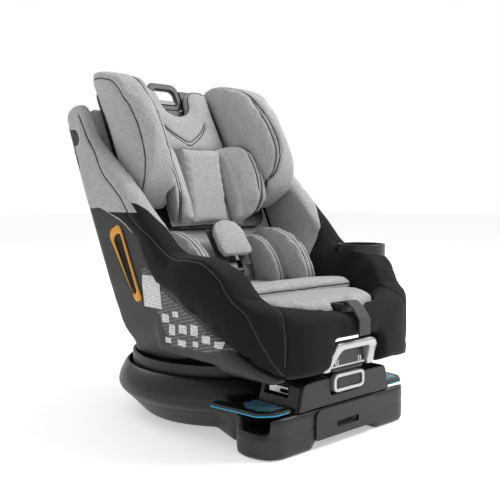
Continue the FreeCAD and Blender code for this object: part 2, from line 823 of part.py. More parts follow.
CHEST_TOP = Vector(0, 7, 336)
CHEST_BOTTOM = Vector(0, -36, 273.5)


def chest_frame(shape):
    """A piece drawn upright, face on Y = 0, turned to lie in the chest pad's place."""
    run = CHEST_TOP - CHEST_BOTTOM
    angle = -math.degrees(math.atan2(run.y, run.z))
    moved = shape.copy()
    moved.Placement = Placement(CHEST_BOTTOM, Rotation(Vector(1, 0, 0), angle))
    return moved


def make_harness():
    """Chest pad and clip, two straps, tongues, buckle, and the adjuster with its strap."""
    shield = mirrored([(33, 0, 12), (38, 14, 12), (37, 50, 24), (25, 70, 20), (0, 76, 60)])
    piece("chest_pad", chest_frame(slab("XZ", shield, 14, 0, 15)))
    piece("chest_clip", chest_frame(slab("XZ", rectangle(34, 14, 48), 6, 15, 20)))
    piece("shoulder_straps", Part.Compound([chest_strap(14, 36), chest_strap(-36, -14)]))
    piece("buckle_tongues", Part.Compound([back_block(2, 20, 30, 36, 57, 70), back_block(-20, -2, 30, 36, 57, 70)]))
    make_buckle()
    make_adjuster()


def chest_strap(x0, x1):
    """A shoulder strap behind the chest clip, from the insert's back to the tongue."""
    strap = slab("XZ", [(x0, -12), (x1, -12), (x1, 64), (x0, 64)], 1, 20, 22.5)
    return chest_frame(strap)


def back_block(x0, x1, n0, n1, u0, u1):
    """A box given across, out from and up the backrest."""
    return leaning(block(x0, x1, -n1, -n0, u0, u1))


BUCKLE_SIDE = [(-22, 16, 3), (-30, 16, 3), (-46, 34, 6), (-45, 57, 5), (-22, 57, 5)]


def button_place():
    """The frame of the buckle's slanting lower face."""
    low = Vector(0, -30, 16)
    high = Vector(0, -46, 34)
    middle = (low + high) * 0.5
    return middle, math.degrees(math.atan2(high.y - low.y, high.z - low.z))


def button_solid(x, z, depth_out, depth_in):
    """A block on the buckle's slanting face, reaching out of it and into it."""
    middle, angle = button_place()
    shape = block(-x, x, -depth_out, depth_in, -z, z)
    shape.Placement = Placement(middle, Rotation(Vector(1, 0, 0), -angle))
    return leaning(shape)


def make_buckle():
    """The crotch buckle with its press button."""
    housing = leaning(slab("YZ", BUCKLE_SIDE, 4, -22, 22))
    housing = housing.cut(button_solid(11.5, 7.5, 10, 7))
    piece("buckle", housing)
    piece("buckle_button", button_solid(11, 7, 2, 2.5))


def make_adjuster():
    """The adjuster's bezel at the cushion's front, its lever and the strap over the front."""
    corner = ("-Sizes.bezel_half_width", "Sizes.bezel_front", "Sizes.bezel_low")
    depth = "Sizes.bezel_back - Sizes.bezel_front"
    outer = bound_box("bezel_block", corner, ("2 * Sizes.bezel_half_width", depth, "Sizes.bezel_high - Sizes.bezel_low"))
    corner = ("-Sizes.bezel_hole_half_width", "Sizes.bezel_hole_front", "Sizes.bezel_low - 1")
    depth = "Sizes.bezel_hole_back - Sizes.bezel_hole_front"
    hole = bound_box("bezel_hole", corner, ("2 * Sizes.bezel_hole_half_width", depth, "20"))
    cut_node("adjuster_bezel", outer, hole)
    corner = ("-Sizes.lever_half_width", "Sizes.lever_y - Sizes.lever_length", "Sizes.lever_z - Sizes.lever_thick / 2")
    flap = bound_box("lever_flap", corner, ("2 * Sizes.lever_half_width", "Sizes.lever_length", "Sizes.lever_thick"))
    start = ("-Sizes.lever_half_width", "Sizes.lever_y", "Sizes.lever_z")
    pin = bound_rod("lever_pin", "Sizes.lever_thick / 2", "2 * Sizes.lever_half_width", start, Vector(1, 0, 0))
    fused_node("adjuster_lever", [flap, pin])
    strap = [(-277.5, 200), (-277.5, 216, 3), (-286, 216.4, 6), (-300, 207, 14), (-312, 191, 14), (-312, 167)]
    inner = [(-309.5, 167), (-309.5, 190, 10), (-298, 204.5, 12), (-286, 213.8, 4), (-280.5, 213.6, 1), (-280, 200)]
    piece("adjuster_strap", slab("YZ", strap + inner, 1, -12.5, 12.5))


def make_cup_holder():
    """The lift-out cup holder in the left arm."""
    radius = size("cup_radius")
    top = size("cup_top")
    profile = [
        (0, 238), (30, 238, 4), (35, 258, 3), (radius - 3, 259, 3), (radius, 264, 3), (radius, top, 1.2),
        (radius - 4, top, 1.2), (radius - 5, 264, 3), (33, 262, 3), (27, 242, 4), (0, 242),
    ]
    holder = turned_body("cup_holder", profile)
    holder.setExpression("Placement.Base.x", "Sizes.cup_x")
    holder.setExpression("Placement.Base.y", "Sizes.cup_y")


# ---------------------------------------------------------------- headrest, drawn upright and then leant

WING_PLAN = [
    (89, -12, 0), (162, -12, 10), (173, -40, 24), (173, -104, 26), (160, -136, 18), (128, -138, 18), (100, -78, 40),
    (91, -38, 12),
]
WING_SIDE = [
    (-12, 438, 16), (-50, 430, 40), (-102, 385, 80), (-131, 318, 80), (-138, 266, 60), (-128, 212, 60),
    (-90, 174, 50), (-12, 164, 10),
]
HUGGER_PLAN = [
    (47, -21, 2), (86, -21, 2), (89, -36, 8), (105, -62, 16), (112, -84, 8), (102, -93, 6), (84, -80, 20),
    (62, -52, 30), (47, -44, 4),
]
HUGGER_SIDE = [
    (-20, 283, 4), (-58, 289, 30), (-86, 262, 40), (-94, 214, 50), (-80, 162, 40), (-52, 139, 20), (-20, 134, 4),
]
PANEL_SIDE = [(-20.5, 135, 1), (-26, 135, 3), (-34, 165, 40), (-44, 200, 80), (-61, 268, 8), (-56, 277, 6), (-20.5, 277, 2)]


def make_headrest():
    """Plate, centre pads, big side wings, head hugger and carry handle."""
    x = size("head_plate_half_width")
    thick = size("head_plate_thick")
    plate_notch = slab("XZ", rectangle(37, 384, 470), 10, -60, 5)
    plate = slab("XZ", rectangle(x, 136, 430), 30, -thick, 0).cut(plate_notch)
    piece("headrest_plate", leaning(plate))
    notch = slab("XZ", mirrored([(26, 367, 22), (33, 410, 30), (62, 432, 20), (62, 470, 0)]), 12, -60, 5)
    pad = slab("XZ", rectangle(88.5, 285, 424), 14, -34, -thick).cut(notch)
    lower = slab("XZ", rectangle(88.5, 134, 290), 4, -20, -thick)
    piece("headrest_pad", leaning(pad.fuse(lower)))
    wing = slab("XY", WING_PLAN, 5, 120, 460).common(slab("YZ", WING_SIDE, 5, 60, 200))
    hugger = slab("XY", HUGGER_PLAN, 5, 120, 300).common(slab("YZ", HUGGER_SIDE, 5, 30, 150))
    make_pair("headrest_wing", leaning(wing.cut(hugger)))
    make_pair("hugger_wing", leaning(hugger.cut([pad, lower])))
    piece("hugger_panel", leaning(slab("YZ", PANEL_SIDE, 2, -45, 45)))
    loop = slab("XZ", rectangle(36, 386, 445), 16, -11, -1).cut(slab("XZ", rectangle(24, 397, 432), 9, -20, 0))
    piece("headrest_handle", leaning(loop))
    piece("headrest_release", leaning(slab("XZ", rectangle(22, 398.5, 408), 4, -9, -3)))


fill_sheet()
make_base()
make_lids()
make_recline_handle()
make_turntable()
make_rotation_handle()
make_seat()
make_insert()
make_harness()
make_cup_holder()
make_headrest()


def export():
    """Checks every object, then writes each sub-part to its file."""
    doc.recompute()
    for obj in doc.Objects:
        if "Invalid" in obj.State or "Error" in obj.State:
            raise ValueError("%s is %s" % (obj.Name, obj.State))
    os.makedirs("parts", exist_ok=True)
    for obj in NODES:
        if obj.Shape.isNull() or not obj.Shape.isValid():
            raise ValueError("bad shape: " + obj.Label)
        obj.Shape.exportStep("parts/%s.step" % obj.Label)
        print("%-26s %8.1f cm3 %d solids" % (obj.Label, obj.Shape.Volume / 1000, len(obj.Shape.Solids)))


export()
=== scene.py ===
"""Looks of a rotating convertible car seat: fabric, padding, moulded plastic and the studio around it.

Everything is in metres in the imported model's own frame: +Z up, the child faces -Y, +X is the child's left.
"""

from __future__ import annotations

import json
import logging
import math
from dataclasses import dataclass
from enum import Enum
from typing import Callable, Sequence

import bpy
import numpy as np
from mathutils import Matrix, Vector, noise
from mathutils.bvhtree import BVHTree
from mathutils.kdtree import KDTree

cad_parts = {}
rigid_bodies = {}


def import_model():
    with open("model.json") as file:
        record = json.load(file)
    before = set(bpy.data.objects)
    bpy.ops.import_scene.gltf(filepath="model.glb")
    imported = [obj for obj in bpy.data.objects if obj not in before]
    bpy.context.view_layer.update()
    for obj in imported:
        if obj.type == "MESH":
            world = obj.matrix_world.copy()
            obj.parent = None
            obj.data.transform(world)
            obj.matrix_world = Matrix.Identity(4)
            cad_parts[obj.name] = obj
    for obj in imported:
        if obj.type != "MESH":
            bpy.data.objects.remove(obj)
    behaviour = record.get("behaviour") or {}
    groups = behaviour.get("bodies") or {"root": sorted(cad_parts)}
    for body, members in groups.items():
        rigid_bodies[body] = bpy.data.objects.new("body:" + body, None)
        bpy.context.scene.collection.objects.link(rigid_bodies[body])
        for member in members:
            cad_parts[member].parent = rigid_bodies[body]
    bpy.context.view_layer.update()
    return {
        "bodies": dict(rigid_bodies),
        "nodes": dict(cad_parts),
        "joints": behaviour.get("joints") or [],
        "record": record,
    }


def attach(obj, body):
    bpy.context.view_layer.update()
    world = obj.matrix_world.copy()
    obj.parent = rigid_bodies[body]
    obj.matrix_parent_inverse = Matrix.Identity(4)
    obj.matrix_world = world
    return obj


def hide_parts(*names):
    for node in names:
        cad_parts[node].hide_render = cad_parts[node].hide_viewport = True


LOG = logging.getLogger("car_seat")
MM = 0.001
LEAN = math.radians(27)
BACK_FOOT = Vector((0.0, 0.002, 0.190))
PATH_STEP = 0.003
CLOTH_FRAMES = 12
CLOTH_STIFFNESS = 12
RIPPLE_HEIGHT = 0.0003
RIPPLE_PITCH = 0.03
BEVEL_FROM = 35
SHARP_FROM = 40

Point = Sequence[float]
Colour = tuple[float, float, float]


class Side(Enum):
    """One side of the seat, by the sign of its X."""

    RIGHT = -1
    LEFT = 1

    @property
    def word(self) -> str:
        """The side's name as it ends a node's name."""
        return self.name.lower()


# ---------------------------------------------------------------- small tools


def deselect_all() -> None:
    """Leaves nothing selected, in object mode."""
    if bpy.context.object and bpy.context.object.mode != "OBJECT":
        bpy.ops.object.mode_set(mode="OBJECT")
    bpy.ops.object.select_all(action="DESELECT")


def activate(piece: bpy.types.Object) -> None:
    """Makes one piece the only selected and the active one."""
    deselect_all()
    piece.select_set(True)
    bpy.context.view_layer.objects.active = piece


def apply_all(piece: bpy.types.Object) -> None:
    """Applies every modifier of a piece, first to last."""
    activate(piece)
    for modifier in list(piece.modifiers):
        bpy.ops.object.modifier_apply(modifier=modifier.name)


def settle(piece: bpy.types.Object) -> None:
    """Puts a piece's place into its mesh, so that its object lies at the origin."""
    activate(piece)
    bpy.ops.object.transform_apply(location=True, rotation=True, scale=True)


def outward(piece: bpy.types.Object, merge: float = 0.00002) -> None:
    """Merges doubled points and turns every face outwards."""
    activate(piece)
    bpy.ops.object.mode_set(mode="EDIT")
    bpy.ops.mesh.select_all(action="SELECT")
    bpy.ops.mesh.remove_doubles(threshold=merge)
    bpy.ops.mesh.normals_make_consistent(inside=False)
    bpy.ops.object.mode_set(mode="OBJECT")


def smooth_shade(piece: bpy.types.Object, degrees: float | None = None) -> None:
    """Shades a piece smooth, over all or only below an edge angle."""
    activate(piece)
    if degrees is None:
        bpy.ops.object.shade_smooth()
    else:
        bpy.ops.object.shade_smooth_by_angle(angle=math.radians(degrees))


def back_point(x: float, up: float, out: float) -> Vector:
    """A point given on the leaning backrest.

    Args:
        x: millimetres to the child's left.
        up: millimetres up along the backrest.
        out: millimetres out of it, towards the front.

    Returns:
        The point in metres.
    """
    y = up * math.sin(LEAN) - out * math.cos(LEAN)
    z = up * math.cos(LEAN) + out * math.sin(LEAN)
    return BACK_FOOT + Vector((x, y, z)) * MM


def side_point(x: float, y: float, z: float) -> Vector:
    """A point given in millimetres."""
    return Vector((x, y, z)) * MM


def smooth_path(points: Sequence[Vector]) -> list[Vector]:
    """A smooth line through points, evenly sampled.

    Args:
        points: the points it passes, in metres.

    Returns:
        The samples.
    """
    last = len(points) - 1
    samples: list[Vector] = []
    for i in range(last):
        p = [points[max(i - 1, 0)], points[i], points[i + 1], points[min(i + 2, last)]]
        pieces = max(2, int((p[2] - p[1]).length / PATH_STEP))
        for k in range(pieces):
            s = k / pieces
            ahead = (p[2] - p[0]) * s
            bend = (p[0] * 2 - p[1] * 5 + p[2] * 4 - p[3]) * s * s
            twist = (p[1] * 3 - p[0] - p[2] * 3 + p[3]) * s**3
            samples.append(p[1] + (ahead + bend + twist) * 0.5)
    samples.append(points[-1].copy())
    return samples


def tree_of(piece: bpy.types.Object) -> BVHTree:
    """The piece's surface, ready for nearest-point questions."""
    mesh = piece.data
    return BVHTree.FromPolygons([v.co for v in mesh.vertices], [p.vertices for p in mesh.polygons])


def relaxed(path: list[Vector], rounds: int) -> list[Vector]:
    """The path with small kinks evened out."""
    for _ in range(rounds):
        last = len(path) - 1
        path = [
            p if i in (0, last) else (path[i - 1] + p * 2 + path[i + 1]) * 0.25
            for i, p in enumerate(path)
        ]
    return path


def tube(name: str, path: Sequence[Vector], radius: float, sides: int = 3) -> bpy.types.Object:
    """A round tube along a path.

    Args:
        name: the new object's name.
        path: its centre line.
        radius: in metres.
        sides: how finely it is rounded.

    Returns:
        The tube, as a mesh.
    """
    curve = bpy.data.curves.new(name, "CURVE")
    curve.dimensions = "3D"
    spline = curve.splines.new("POLY")
    spline.points.add(len(path) - 1)
    spline.points.foreach_set("co", [c for p in path for c in (*p, 1.0)])
    curve.bevel_depth = radius
    curve.bevel_resolution = sides
    curve.use_fill_caps = True
    piece = bpy.data.objects.new(name, curve)
    bpy.context.collection.objects.link(piece)
    activate(piece)
    bpy.ops.object.convert(target="MESH")
    piece = bpy.context.object
    outward(piece)
    smooth_shade(piece)
    return piece


def positions(piece: bpy.types.Object) -> np.ndarray:
    """Every point of a piece's mesh."""
    flat = np.empty(len(piece.data.vertices) * 3)
    piece.data.vertices.foreach_get("co", flat)
    return flat.reshape(-1, 3)


def directions(piece: bpy.types.Object) -> np.ndarray:
    """Every point's normal."""
    flat = np.empty(len(piece.data.vertices) * 3)
    piece.data.vertex_normals.foreach_get("vector", flat)
    return flat.reshape(-1, 3)


def place(piece: bpy.types.Object, points: np.ndarray) -> None:
    """Moves every point of a piece's mesh."""
    piece.data.vertices.foreach_set("co", points.ravel())
    piece.data.update()


def groove(piece: bpy.types.Object, path: Sequence[Vector], width: float, depth: float) -> None:
    """Draws a sewn seam's valley into a padded piece.

    Args:
        piece: a finely divided mesh.
        path: the seam, on the surface.
        width: the valley's half width, in metres.
        depth: how far its middle sinks.
    """
    seam = KDTree(len(path))
    for i, p in enumerate(path):
        seam.insert(p, i)
    seam.balance()
    points = positions(piece)
    normals = directions(piece)
    low = np.min([list(p) for p in path], axis=0) - 3 * width
    high = np.max([list(p) for p in path], axis=0) + 3 * width
    near = np.nonzero(np.all((points > low) & (points < high), axis=1))[0]
    for i in near:
        distance = seam.find(points[i])[2]
        points[i] -= normals[i] * depth * math.exp(-((distance / width) ** 2))
    place(piece, points)


def ripple(piece: bpy.types.Object, height: float, pitch: float, seed: float) -> None:
    """Gives cloth its slight unevenness.

    Args:
        piece: the mesh.
        height: the most a point moves, in metres.
        pitch: the size of a ripple.
        seed: shifts the pattern.
    """
    points = positions(piece)
    normals = directions(piece)
    shift = Vector((seed, seed * 0.7, seed * 1.3))
    sway = [noise.noise(Vector(p) / pitch + shift) for p in points]
    place(piece, points + normals * (np.array(sway) * height)[:, None])


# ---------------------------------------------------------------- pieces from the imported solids


def solid_copy(frame: dict, name: str, nodes: Sequence[str]) -> bpy.types.Object:
    """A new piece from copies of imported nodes, with their loose triangles joined.

    Args:
        frame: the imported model.
        name: the new piece's name.
        nodes: the nodes it is made of.

    Returns:
        The new piece.
    """
    copies = []
    for node in nodes:
        copied = bpy.data.objects.new(name, frame["nodes"][node].data.copy())
        bpy.context.collection.objects.link(copied)
        copies.append(copied)
    deselect_all()
    for copied in copies:
        copied.select_set(True)
    bpy.context.view_layer.objects.active = copies[0]
    if len(copies) > 1:
        bpy.ops.object.join()
    piece = bpy.context.view_layer.objects.active
    piece.name = name
    piece.data.materials.clear()
    outward(piece)
    return piece


def remeshed(piece: bpy.types.Object, voxel: float, smoothing: int) -> None:
    """Gives a piece an even mesh with rounded edges.

    Args:
        piece: a closed mesh.
        voxel: the mesh's fineness, in metres.
        smoothing: how often its corners are evened out.
    """
    remesh = piece.modifiers.new("even", "REMESH")
    remesh.mode = "VOXEL"
    remesh.voxel_size = voxel
    soften = piece.modifiers.new("soften", "SMOOTH")
    soften.factor = 0.5
    soften.iterations = smoothing
    apply_all(piece)


def inflated(piece: bpy.types.Object, pressure: float, cap: float, shrink: float) -> None:
    """Fills a padded piece: it starts slightly smaller and its cloth is blown out.

    Args:
        piece: an evenly meshed, closed piece.
        pressure: the pressure inside.
        cap: the furthest that a point may move, in metres.
        shrink: how much smaller it starts.
    """
    start = positions(piece) - directions(piece) * shrink
    place(piece, start)
    cloth = piece.modifiers.new("filling", "CLOTH")
    cloth.settings.use_pressure = True
    cloth.settings.uniform_pressure_force = pressure
    cloth.settings.quality = 4
    cloth.settings.tension_stiffness = CLOTH_STIFFNESS
    cloth.settings.compression_stiffness = CLOTH_STIFFNESS
    cloth.settings.effector_weights.gravity = 0
    cloth.collision_settings.use_collision = False
    scene = bpy.context.scene
    for step in range(1, CLOTH_FRAMES + 1):
        scene.frame_set(step)
    shape = piece.evaluated_get(bpy.context.evaluated_depsgraph_get())
    flat = np.empty(len(shape.data.vertices) * 3)
    shape.data.vertices.foreach_get("co", flat)
    piece.modifiers.remove(cloth)
    scene.frame_set(1)
    move = flat.reshape(-1, 3) - start
    far = np.linalg.norm(move, axis=1, keepdims=True)
    place(piece, start + move * np.minimum(1.0, cap / np.maximum(far, 1e-9)))


def subdivided(piece: bpy.types.Object) -> None:
    """Subdivides a piece once, smoothly."""
    finer = piece.modifiers.new("finer", "SUBSURF")
    finer.levels = 1
    finer.render_levels = 1
    apply_all(piece)


def mirror_image(piece: bpy.types.Object, name: str) -> bpy.types.Object:
    """The piece's mirror image in the plane X = 0.

    Args:
        piece: the piece on one side.
        name: the new piece's name.

    Returns:
        The new piece, its faces outwards.
    """
    twin = bpy.data.objects.new(name, piece.data.copy())
    bpy.context.collection.objects.link(twin)
    place(twin, positions(twin) * (-1.0, 1.0, 1.0))
    twin.data.flip_normals()
    smooth_shade(twin)
    return twin


def dress(piece: bpy.types.Object, finish: "Finish", body: str, nodes: Sequence[str] = ()) -> bpy.types.Object:
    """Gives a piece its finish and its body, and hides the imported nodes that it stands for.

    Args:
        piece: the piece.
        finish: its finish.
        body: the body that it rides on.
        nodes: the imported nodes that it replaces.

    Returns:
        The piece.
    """
    piece.data.materials.clear()
    piece.data.materials.append(finish.material())
    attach(piece, body)
    if nodes:
        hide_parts(*nodes)
    LOG.info("%s: %d faces on %s", piece.name, len(piece.data.polygons), body)
    return piece


def paint(frame: dict, finish: "Finish", *nodes: str) -> None:
    """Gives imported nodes, whose shape is kept, a finish."""
    for node in nodes:
        for slot in frame["nodes"][node].material_slots:
            slot.link = "OBJECT"
            slot.material = finish.material()
        LOG.info("%s keeps its shape, in %s", node, finish.name)


@dataclass
class Moulding:
    """A hard moulding whose edges are rounded off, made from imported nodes."""

    name: str
    nodes: Sequence[str]
    body: str
    finish: "Finish"
    voxel: float = 0.003
    smoothing: int = 6

    def build(self, frame: dict) -> bpy.types.Object:
        """Makes the moulding from its nodes in the frame."""
        piece = solid_copy(frame, self.name, self.nodes)
        remeshed(piece, self.voxel, self.smoothing)
        smooth_shade(piece)
        return dress(piece, self.finish, self.body, self.nodes)


@dataclass
class Pad:
    """A padded piece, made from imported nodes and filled."""

    name: str
    nodes: Sequence[str]
    body: str
    finish: "Finish"
    voxel: float = 0.005
    smoothing: int = 10
    pressure: float = 4.0
    cap: float = 0.006
    shrink: float = 0.002
    fill: float = 0.75

    def shape(self, frame: dict) -> bpy.types.Object:
        """Makes the filled shape from the frame's nodes."""
        piece = solid_copy(frame, self.name, self.nodes)
        remeshed(piece, self.voxel, self.smoothing)
        inflated(piece, self.pressure, self.cap, self.shrink)
        subdivided(piece)
        ripple(piece, RIPPLE_HEIGHT, RIPPLE_PITCH, len(self.name))
        smooth_shade(piece)
        return piece

    def declare(self, piece: bpy.types.Object, nodes: Sequence[str]) -> bpy.types.Object:
        dress(piece, self.finish, self.body, nodes)
        return piece

    def build(self, frame: dict) -> bpy.types.Object:
        """Makes the whole pad."""
        return self.declare(self.shape(frame), self.nodes)

    def pair(self, frame: dict) -> tuple[bpy.types.Object, bpy.types.Object]:
        """Makes the left pad from its nodes, and the right one as its mirror image.

        Args:
            frame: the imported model.

        Returns:
            The left and the right pad.
        """
        left = self.shape(frame)
        right = mirror_image(left, self.name.replace("left", "right"))
        self.declare(left, self.nodes)
        self.declare(right, [node.replace("left", "right") for node in self.nodes])
        return left, right


@dataclass
class Seam:
    """A sewn line on padded pieces, with a dark cord or thread lying in its valley: partly the real piping and
    thread, partly painted shade for the shadow in the seam.
    """

    name: str
    path: Sequence[Vector]
    finish: "Finish"
    radius: float = 0.0011
    width: float = 0.004
    depth: float = 0.0025
    evening: int = 3

    def build(self, pads: Sequence[bpy.types.Object], body: str) -> bpy.types.Object:
        """Presses the seam into its pads and lays the cord.

        Args:
            pads: the pieces that it crosses.
            body: the body that they ride on.

        Returns:
            The cord.
        """
        on_top = relaxed(self.nearest(smooth_path(self.path), pads), self.evening)
        for pad in pads:
            groove(pad, on_top, self.width, self.depth)
        lying = relaxed(self.nearest(on_top, pads), self.evening)
        # The dark cord is partly real piping, partly painted shade for the shadow in the seam.
        return dress(tube(self.name, lying, self.radius), self.finish, body)

    def nearest(self, path: Sequence[Vector], pads: Sequence[bpy.types.Object]) -> list[Vector]:
        """The path moved to the nearest of the pads' surfaces."""
        trees = [tree_of(pad) for pad in pads]
        moved = []
        for point in path:
            found = min((tree.find_nearest(point) for tree in trees), key=lambda hit: hit[3])
            moved.append(found[0])
        return moved


def both_sides(path: Sequence[Vector], side: Side) -> list[Vector]:
    """A path drawn on the left side, moved to the side that is asked for."""
    return [Vector((p.x * side.value, p.y, p.z)) for p in path]


# ---------------------------------------------------------------- shader building blocks


class Graph:
    """A shader or group tree while it is wired up."""

    def __init__(self, tree: bpy.types.NodeTree) -> None:
        """Starts on a tree."""
        self.tree = tree

    def add(self, kind: str, inputs: dict | None = None, **settings: object) -> bpy.types.Node:
        """Adds a node.

        Args:
            kind: its type.
            inputs: a value or another node's output for each named or numbered input.
            settings: its properties.

        Returns:
            The node.
        """
        node = self.tree.nodes.new(kind)
        for key, value in settings.items():
            setattr(node, key, value)
        for key, value in (inputs or {}).items():
            if isinstance(value, bpy.types.NodeSocket):
                self.tree.links.new(value, node.inputs[key])
            else:
                node.inputs[key].default_value = value
        return node

    def math(self, operation: str, first: object, second: object = 0.0) -> bpy.types.NodeSocket:
        """The result of one sum on two values."""
        return self.add("ShaderNodeMath", {0: first, 1: second}, operation=operation).outputs[0]

    def blend(self, factor: object, first: object, second: object, kind: str = "MIX") -> bpy.types.NodeSocket:
        """The mixture of two colours."""
        mix = self.add("ShaderNodeMix", {0: factor, 6: first, 7: second}, data_type="RGBA", blend_type=kind)
        return mix.outputs[2]

    def stepped(self, value: object, low: float, high: float) -> bpy.types.NodeSocket:
        """A value's soft step from 0 to 1 between two limits."""
        inputs = {"Value": value, "From Min": low, "From Max": high}
        return self.add("ShaderNodeMapRange", inputs, interpolation_type="SMOOTHSTEP").outputs[0]

    def noise(self, place: object, scale: object, detail: float = 2.0) -> bpy.types.NodeSocket:
        """A noise over a place."""
        return self.add("ShaderNodeTexNoise", {"Vector": place, "Scale": scale, "Detail": detail}).outputs["Fac"]


def coloured(colour: Colour) -> tuple[float, float, float, float]:
    """A colour with its alpha."""
    return (*colour, 1.0)


def new_group(name: str, takes: dict[str, object], gives: dict[str, str]) -> tuple[Graph, dict, bpy.types.Node]:
    """A new node group.

    Args:
        name: its name.
        takes: each input's default, a number or a colour.
        gives: each output's kind, "Float" or "Color".

    Returns:
        Its graph, its inputs by name, and its output node.
    """
    tree = bpy.data.node_groups.new(name, "ShaderNodeTree")
    for key, value in takes.items():
        kind = "NodeSocketColor" if isinstance(value, tuple) else "NodeSocketFloat"
        socket = tree.interface.new_socket(name=key, in_out="INPUT", socket_type=kind)
        socket.default_value = coloured(value) if isinstance(value, tuple) else value
    for key, kind in gives.items():
        tree.interface.new_socket(name=key, in_out="OUTPUT", socket_type="NodeSocket" + kind)
    graph = Graph(tree)
    given = graph.add("NodeGroupInput")
    result = graph.add("NodeGroupOutput")
    return graph, {key: given.outputs[key] for key in takes}, result


def weave_group() -> bpy.types.NodeTree:
    """Woven cloth on any side of a piece: threads up and across, with flecks of a second tone and painted shade
    in the hollows between threads.
    """
    known = bpy.data.node_groups.get("Weave")
    if known:
        return known
    takes = {"Tone": (0.3, 0.3, 0.3), "Fleck": (0.2, 0.2, 0.2), "Pitch": 0.0014, "Fleck Amount": 0.5}
    graph, given, result = new_group("Weave", takes, {"Color": "Color", "Height": "Float"})
    where = graph.add("ShaderNodeTexCoord")
    wave = graph.math("DIVIDE", math.tau, given["Pitch"])
    scaled = graph.add("ShaderNodeVectorMath", {0: where.outputs["Object"], "Scale": wave}, operation="SCALE")
    sines = graph.add("ShaderNodeVectorMath", {0: scaled.outputs[0]}, operation="SINE")
    x, y, z = graph.add("ShaderNodeSeparateXYZ", {0: sines.outputs[0]}).outputs
    facing = graph.add("ShaderNodeVectorMath", {0: where.outputs["Normal"]}, operation="ABSOLUTE")
    axes = graph.add("ShaderNodeSeparateXYZ", {0: facing.outputs[0]}).outputs
    cubed = [graph.math("POWER", axis, 3.0) for axis in axes]
    threads = [graph.math("MULTIPLY", y, z), graph.math("MULTIPLY", x, z), graph.math("MULTIPLY", x, y)]
    parts = [graph.math("MULTIPLY", weight, thread) for weight, thread in zip(cubed, threads)]
    total = graph.math("ADD", graph.math("ADD", cubed[0], cubed[1]), cubed[2])
    woven = graph.math("DIVIDE", graph.math("ADD", graph.math("ADD", parts[0], parts[1]), parts[2]), total)
    height = graph.math("MULTIPLY_ADD", woven, 0.5)
    height.node.inputs[2].default_value = 0.5
    stretch = {0: where.outputs["Object"], 1: (0.45, 0.45, 1.5)}
    flat = graph.add("ShaderNodeVectorMath", stretch, operation="MULTIPLY")
    slub = graph.stepped(graph.noise(flat.outputs[0], 520.0), 0.34, 0.66)
    cloud = graph.stepped(graph.noise(where.outputs["Object"], 130.0), 0.2, 0.8)
    flecks = graph.math("ADD", graph.math("MULTIPLY", slub, 0.75), graph.math("MULTIPLY", cloud, 0.25))
    mixed = graph.math("MULTIPLY", flecks, given["Fleck Amount"])
    tone = graph.blend(mixed, given["Tone"], given["Fleck"])
    # Painted shade: the colour is multiplied darker where the weave's height is low, in the hollows between
    # threads.
    shade = graph.stepped(height, -0.9, 0.9)
    grey = graph.add("ShaderNodeCombineXYZ", {0: shade, 1: shade, 2: shade}).outputs[0]
    shaded = graph.blend(0.35, tone, grey, "MULTIPLY")
    graph.tree.links.new(shaded, result.inputs["Color"])
    graph.tree.links.new(height, result.inputs["Height"])
    return graph.tree


def grain_group() -> bpy.types.NodeTree:
    """The fine leathery grain of moulded plastic, and the slight unevenness of its shine."""
    known = bpy.data.node_groups.get("Grain")
    if known:
        return known
    takes = {"Scale": 1400.0, "Roughness": 0.45, "Spread": 0.08}
    graph, given, result = new_group("Grain", takes, {"Height": "Float", "Roughness": "Float"})
    where = graph.add("ShaderNodeTexCoord").outputs["Object"]
    cells = graph.add("ShaderNodeTexVoronoi", {"Vector": where, "Scale": given["Scale"]}, feature="SMOOTH_F1")
    fine = graph.noise(where, given["Scale"], 3.0)
    coarse = graph.math("MULTIPLY", cells.outputs["Distance"], 0.7)
    height = graph.math("ADD", coarse, graph.math("MULTIPLY", fine, 0.5))
    handled = graph.noise(where, 24.0, 4.0)
    spread = graph.math("MULTIPLY", graph.math("SUBTRACT", handled, 0.5), given["Spread"])
    graph.tree.links.new(height, result.inputs["Height"])
    graph.tree.links.new(graph.math("ADD", given["Roughness"], spread), result.inputs["Roughness"])
    return graph.tree


def wear_group() -> bpy.types.NodeTree:
    """Edge wear: the edges of a moulding rubbed a little lighter, in patches."""
    known = bpy.data.node_groups.get("EdgeWear")
    if known:
        return known
    takes = {"Tone": (0.02, 0.02, 0.02), "Worn": (0.06, 0.06, 0.06), "Radius": 0.0015, "Amount": 0.6}
    graph, given, result = new_group("EdgeWear", takes, {"Color": "Color", "Mask": "Float"})
    rounded = graph.add("ShaderNodeBevel", {"Radius": given["Radius"]}, samples=4)
    true = graph.add("ShaderNodeNewGeometry").outputs["Normal"]
    along = graph.add("ShaderNodeVectorMath", {0: rounded.outputs[0], 1: true}, operation="DOT_PRODUCT")
    edge = graph.stepped(graph.math("SUBTRACT", 1.0, along.outputs["Value"]), 0.01, 0.2)
    patches = graph.stepped(graph.noise(graph.add("ShaderNodeTexCoord").outputs["Object"], 160.0, 4.0), 0.35, 0.7)
    mask = graph.math("MULTIPLY", graph.math("MULTIPLY", edge, patches), given["Amount"])
    graph.tree.links.new(graph.blend(mask, given["Tone"], given["Worn"]), result.inputs["Color"])
    graph.tree.links.new(mask, result.inputs["Mask"])
    return graph.tree


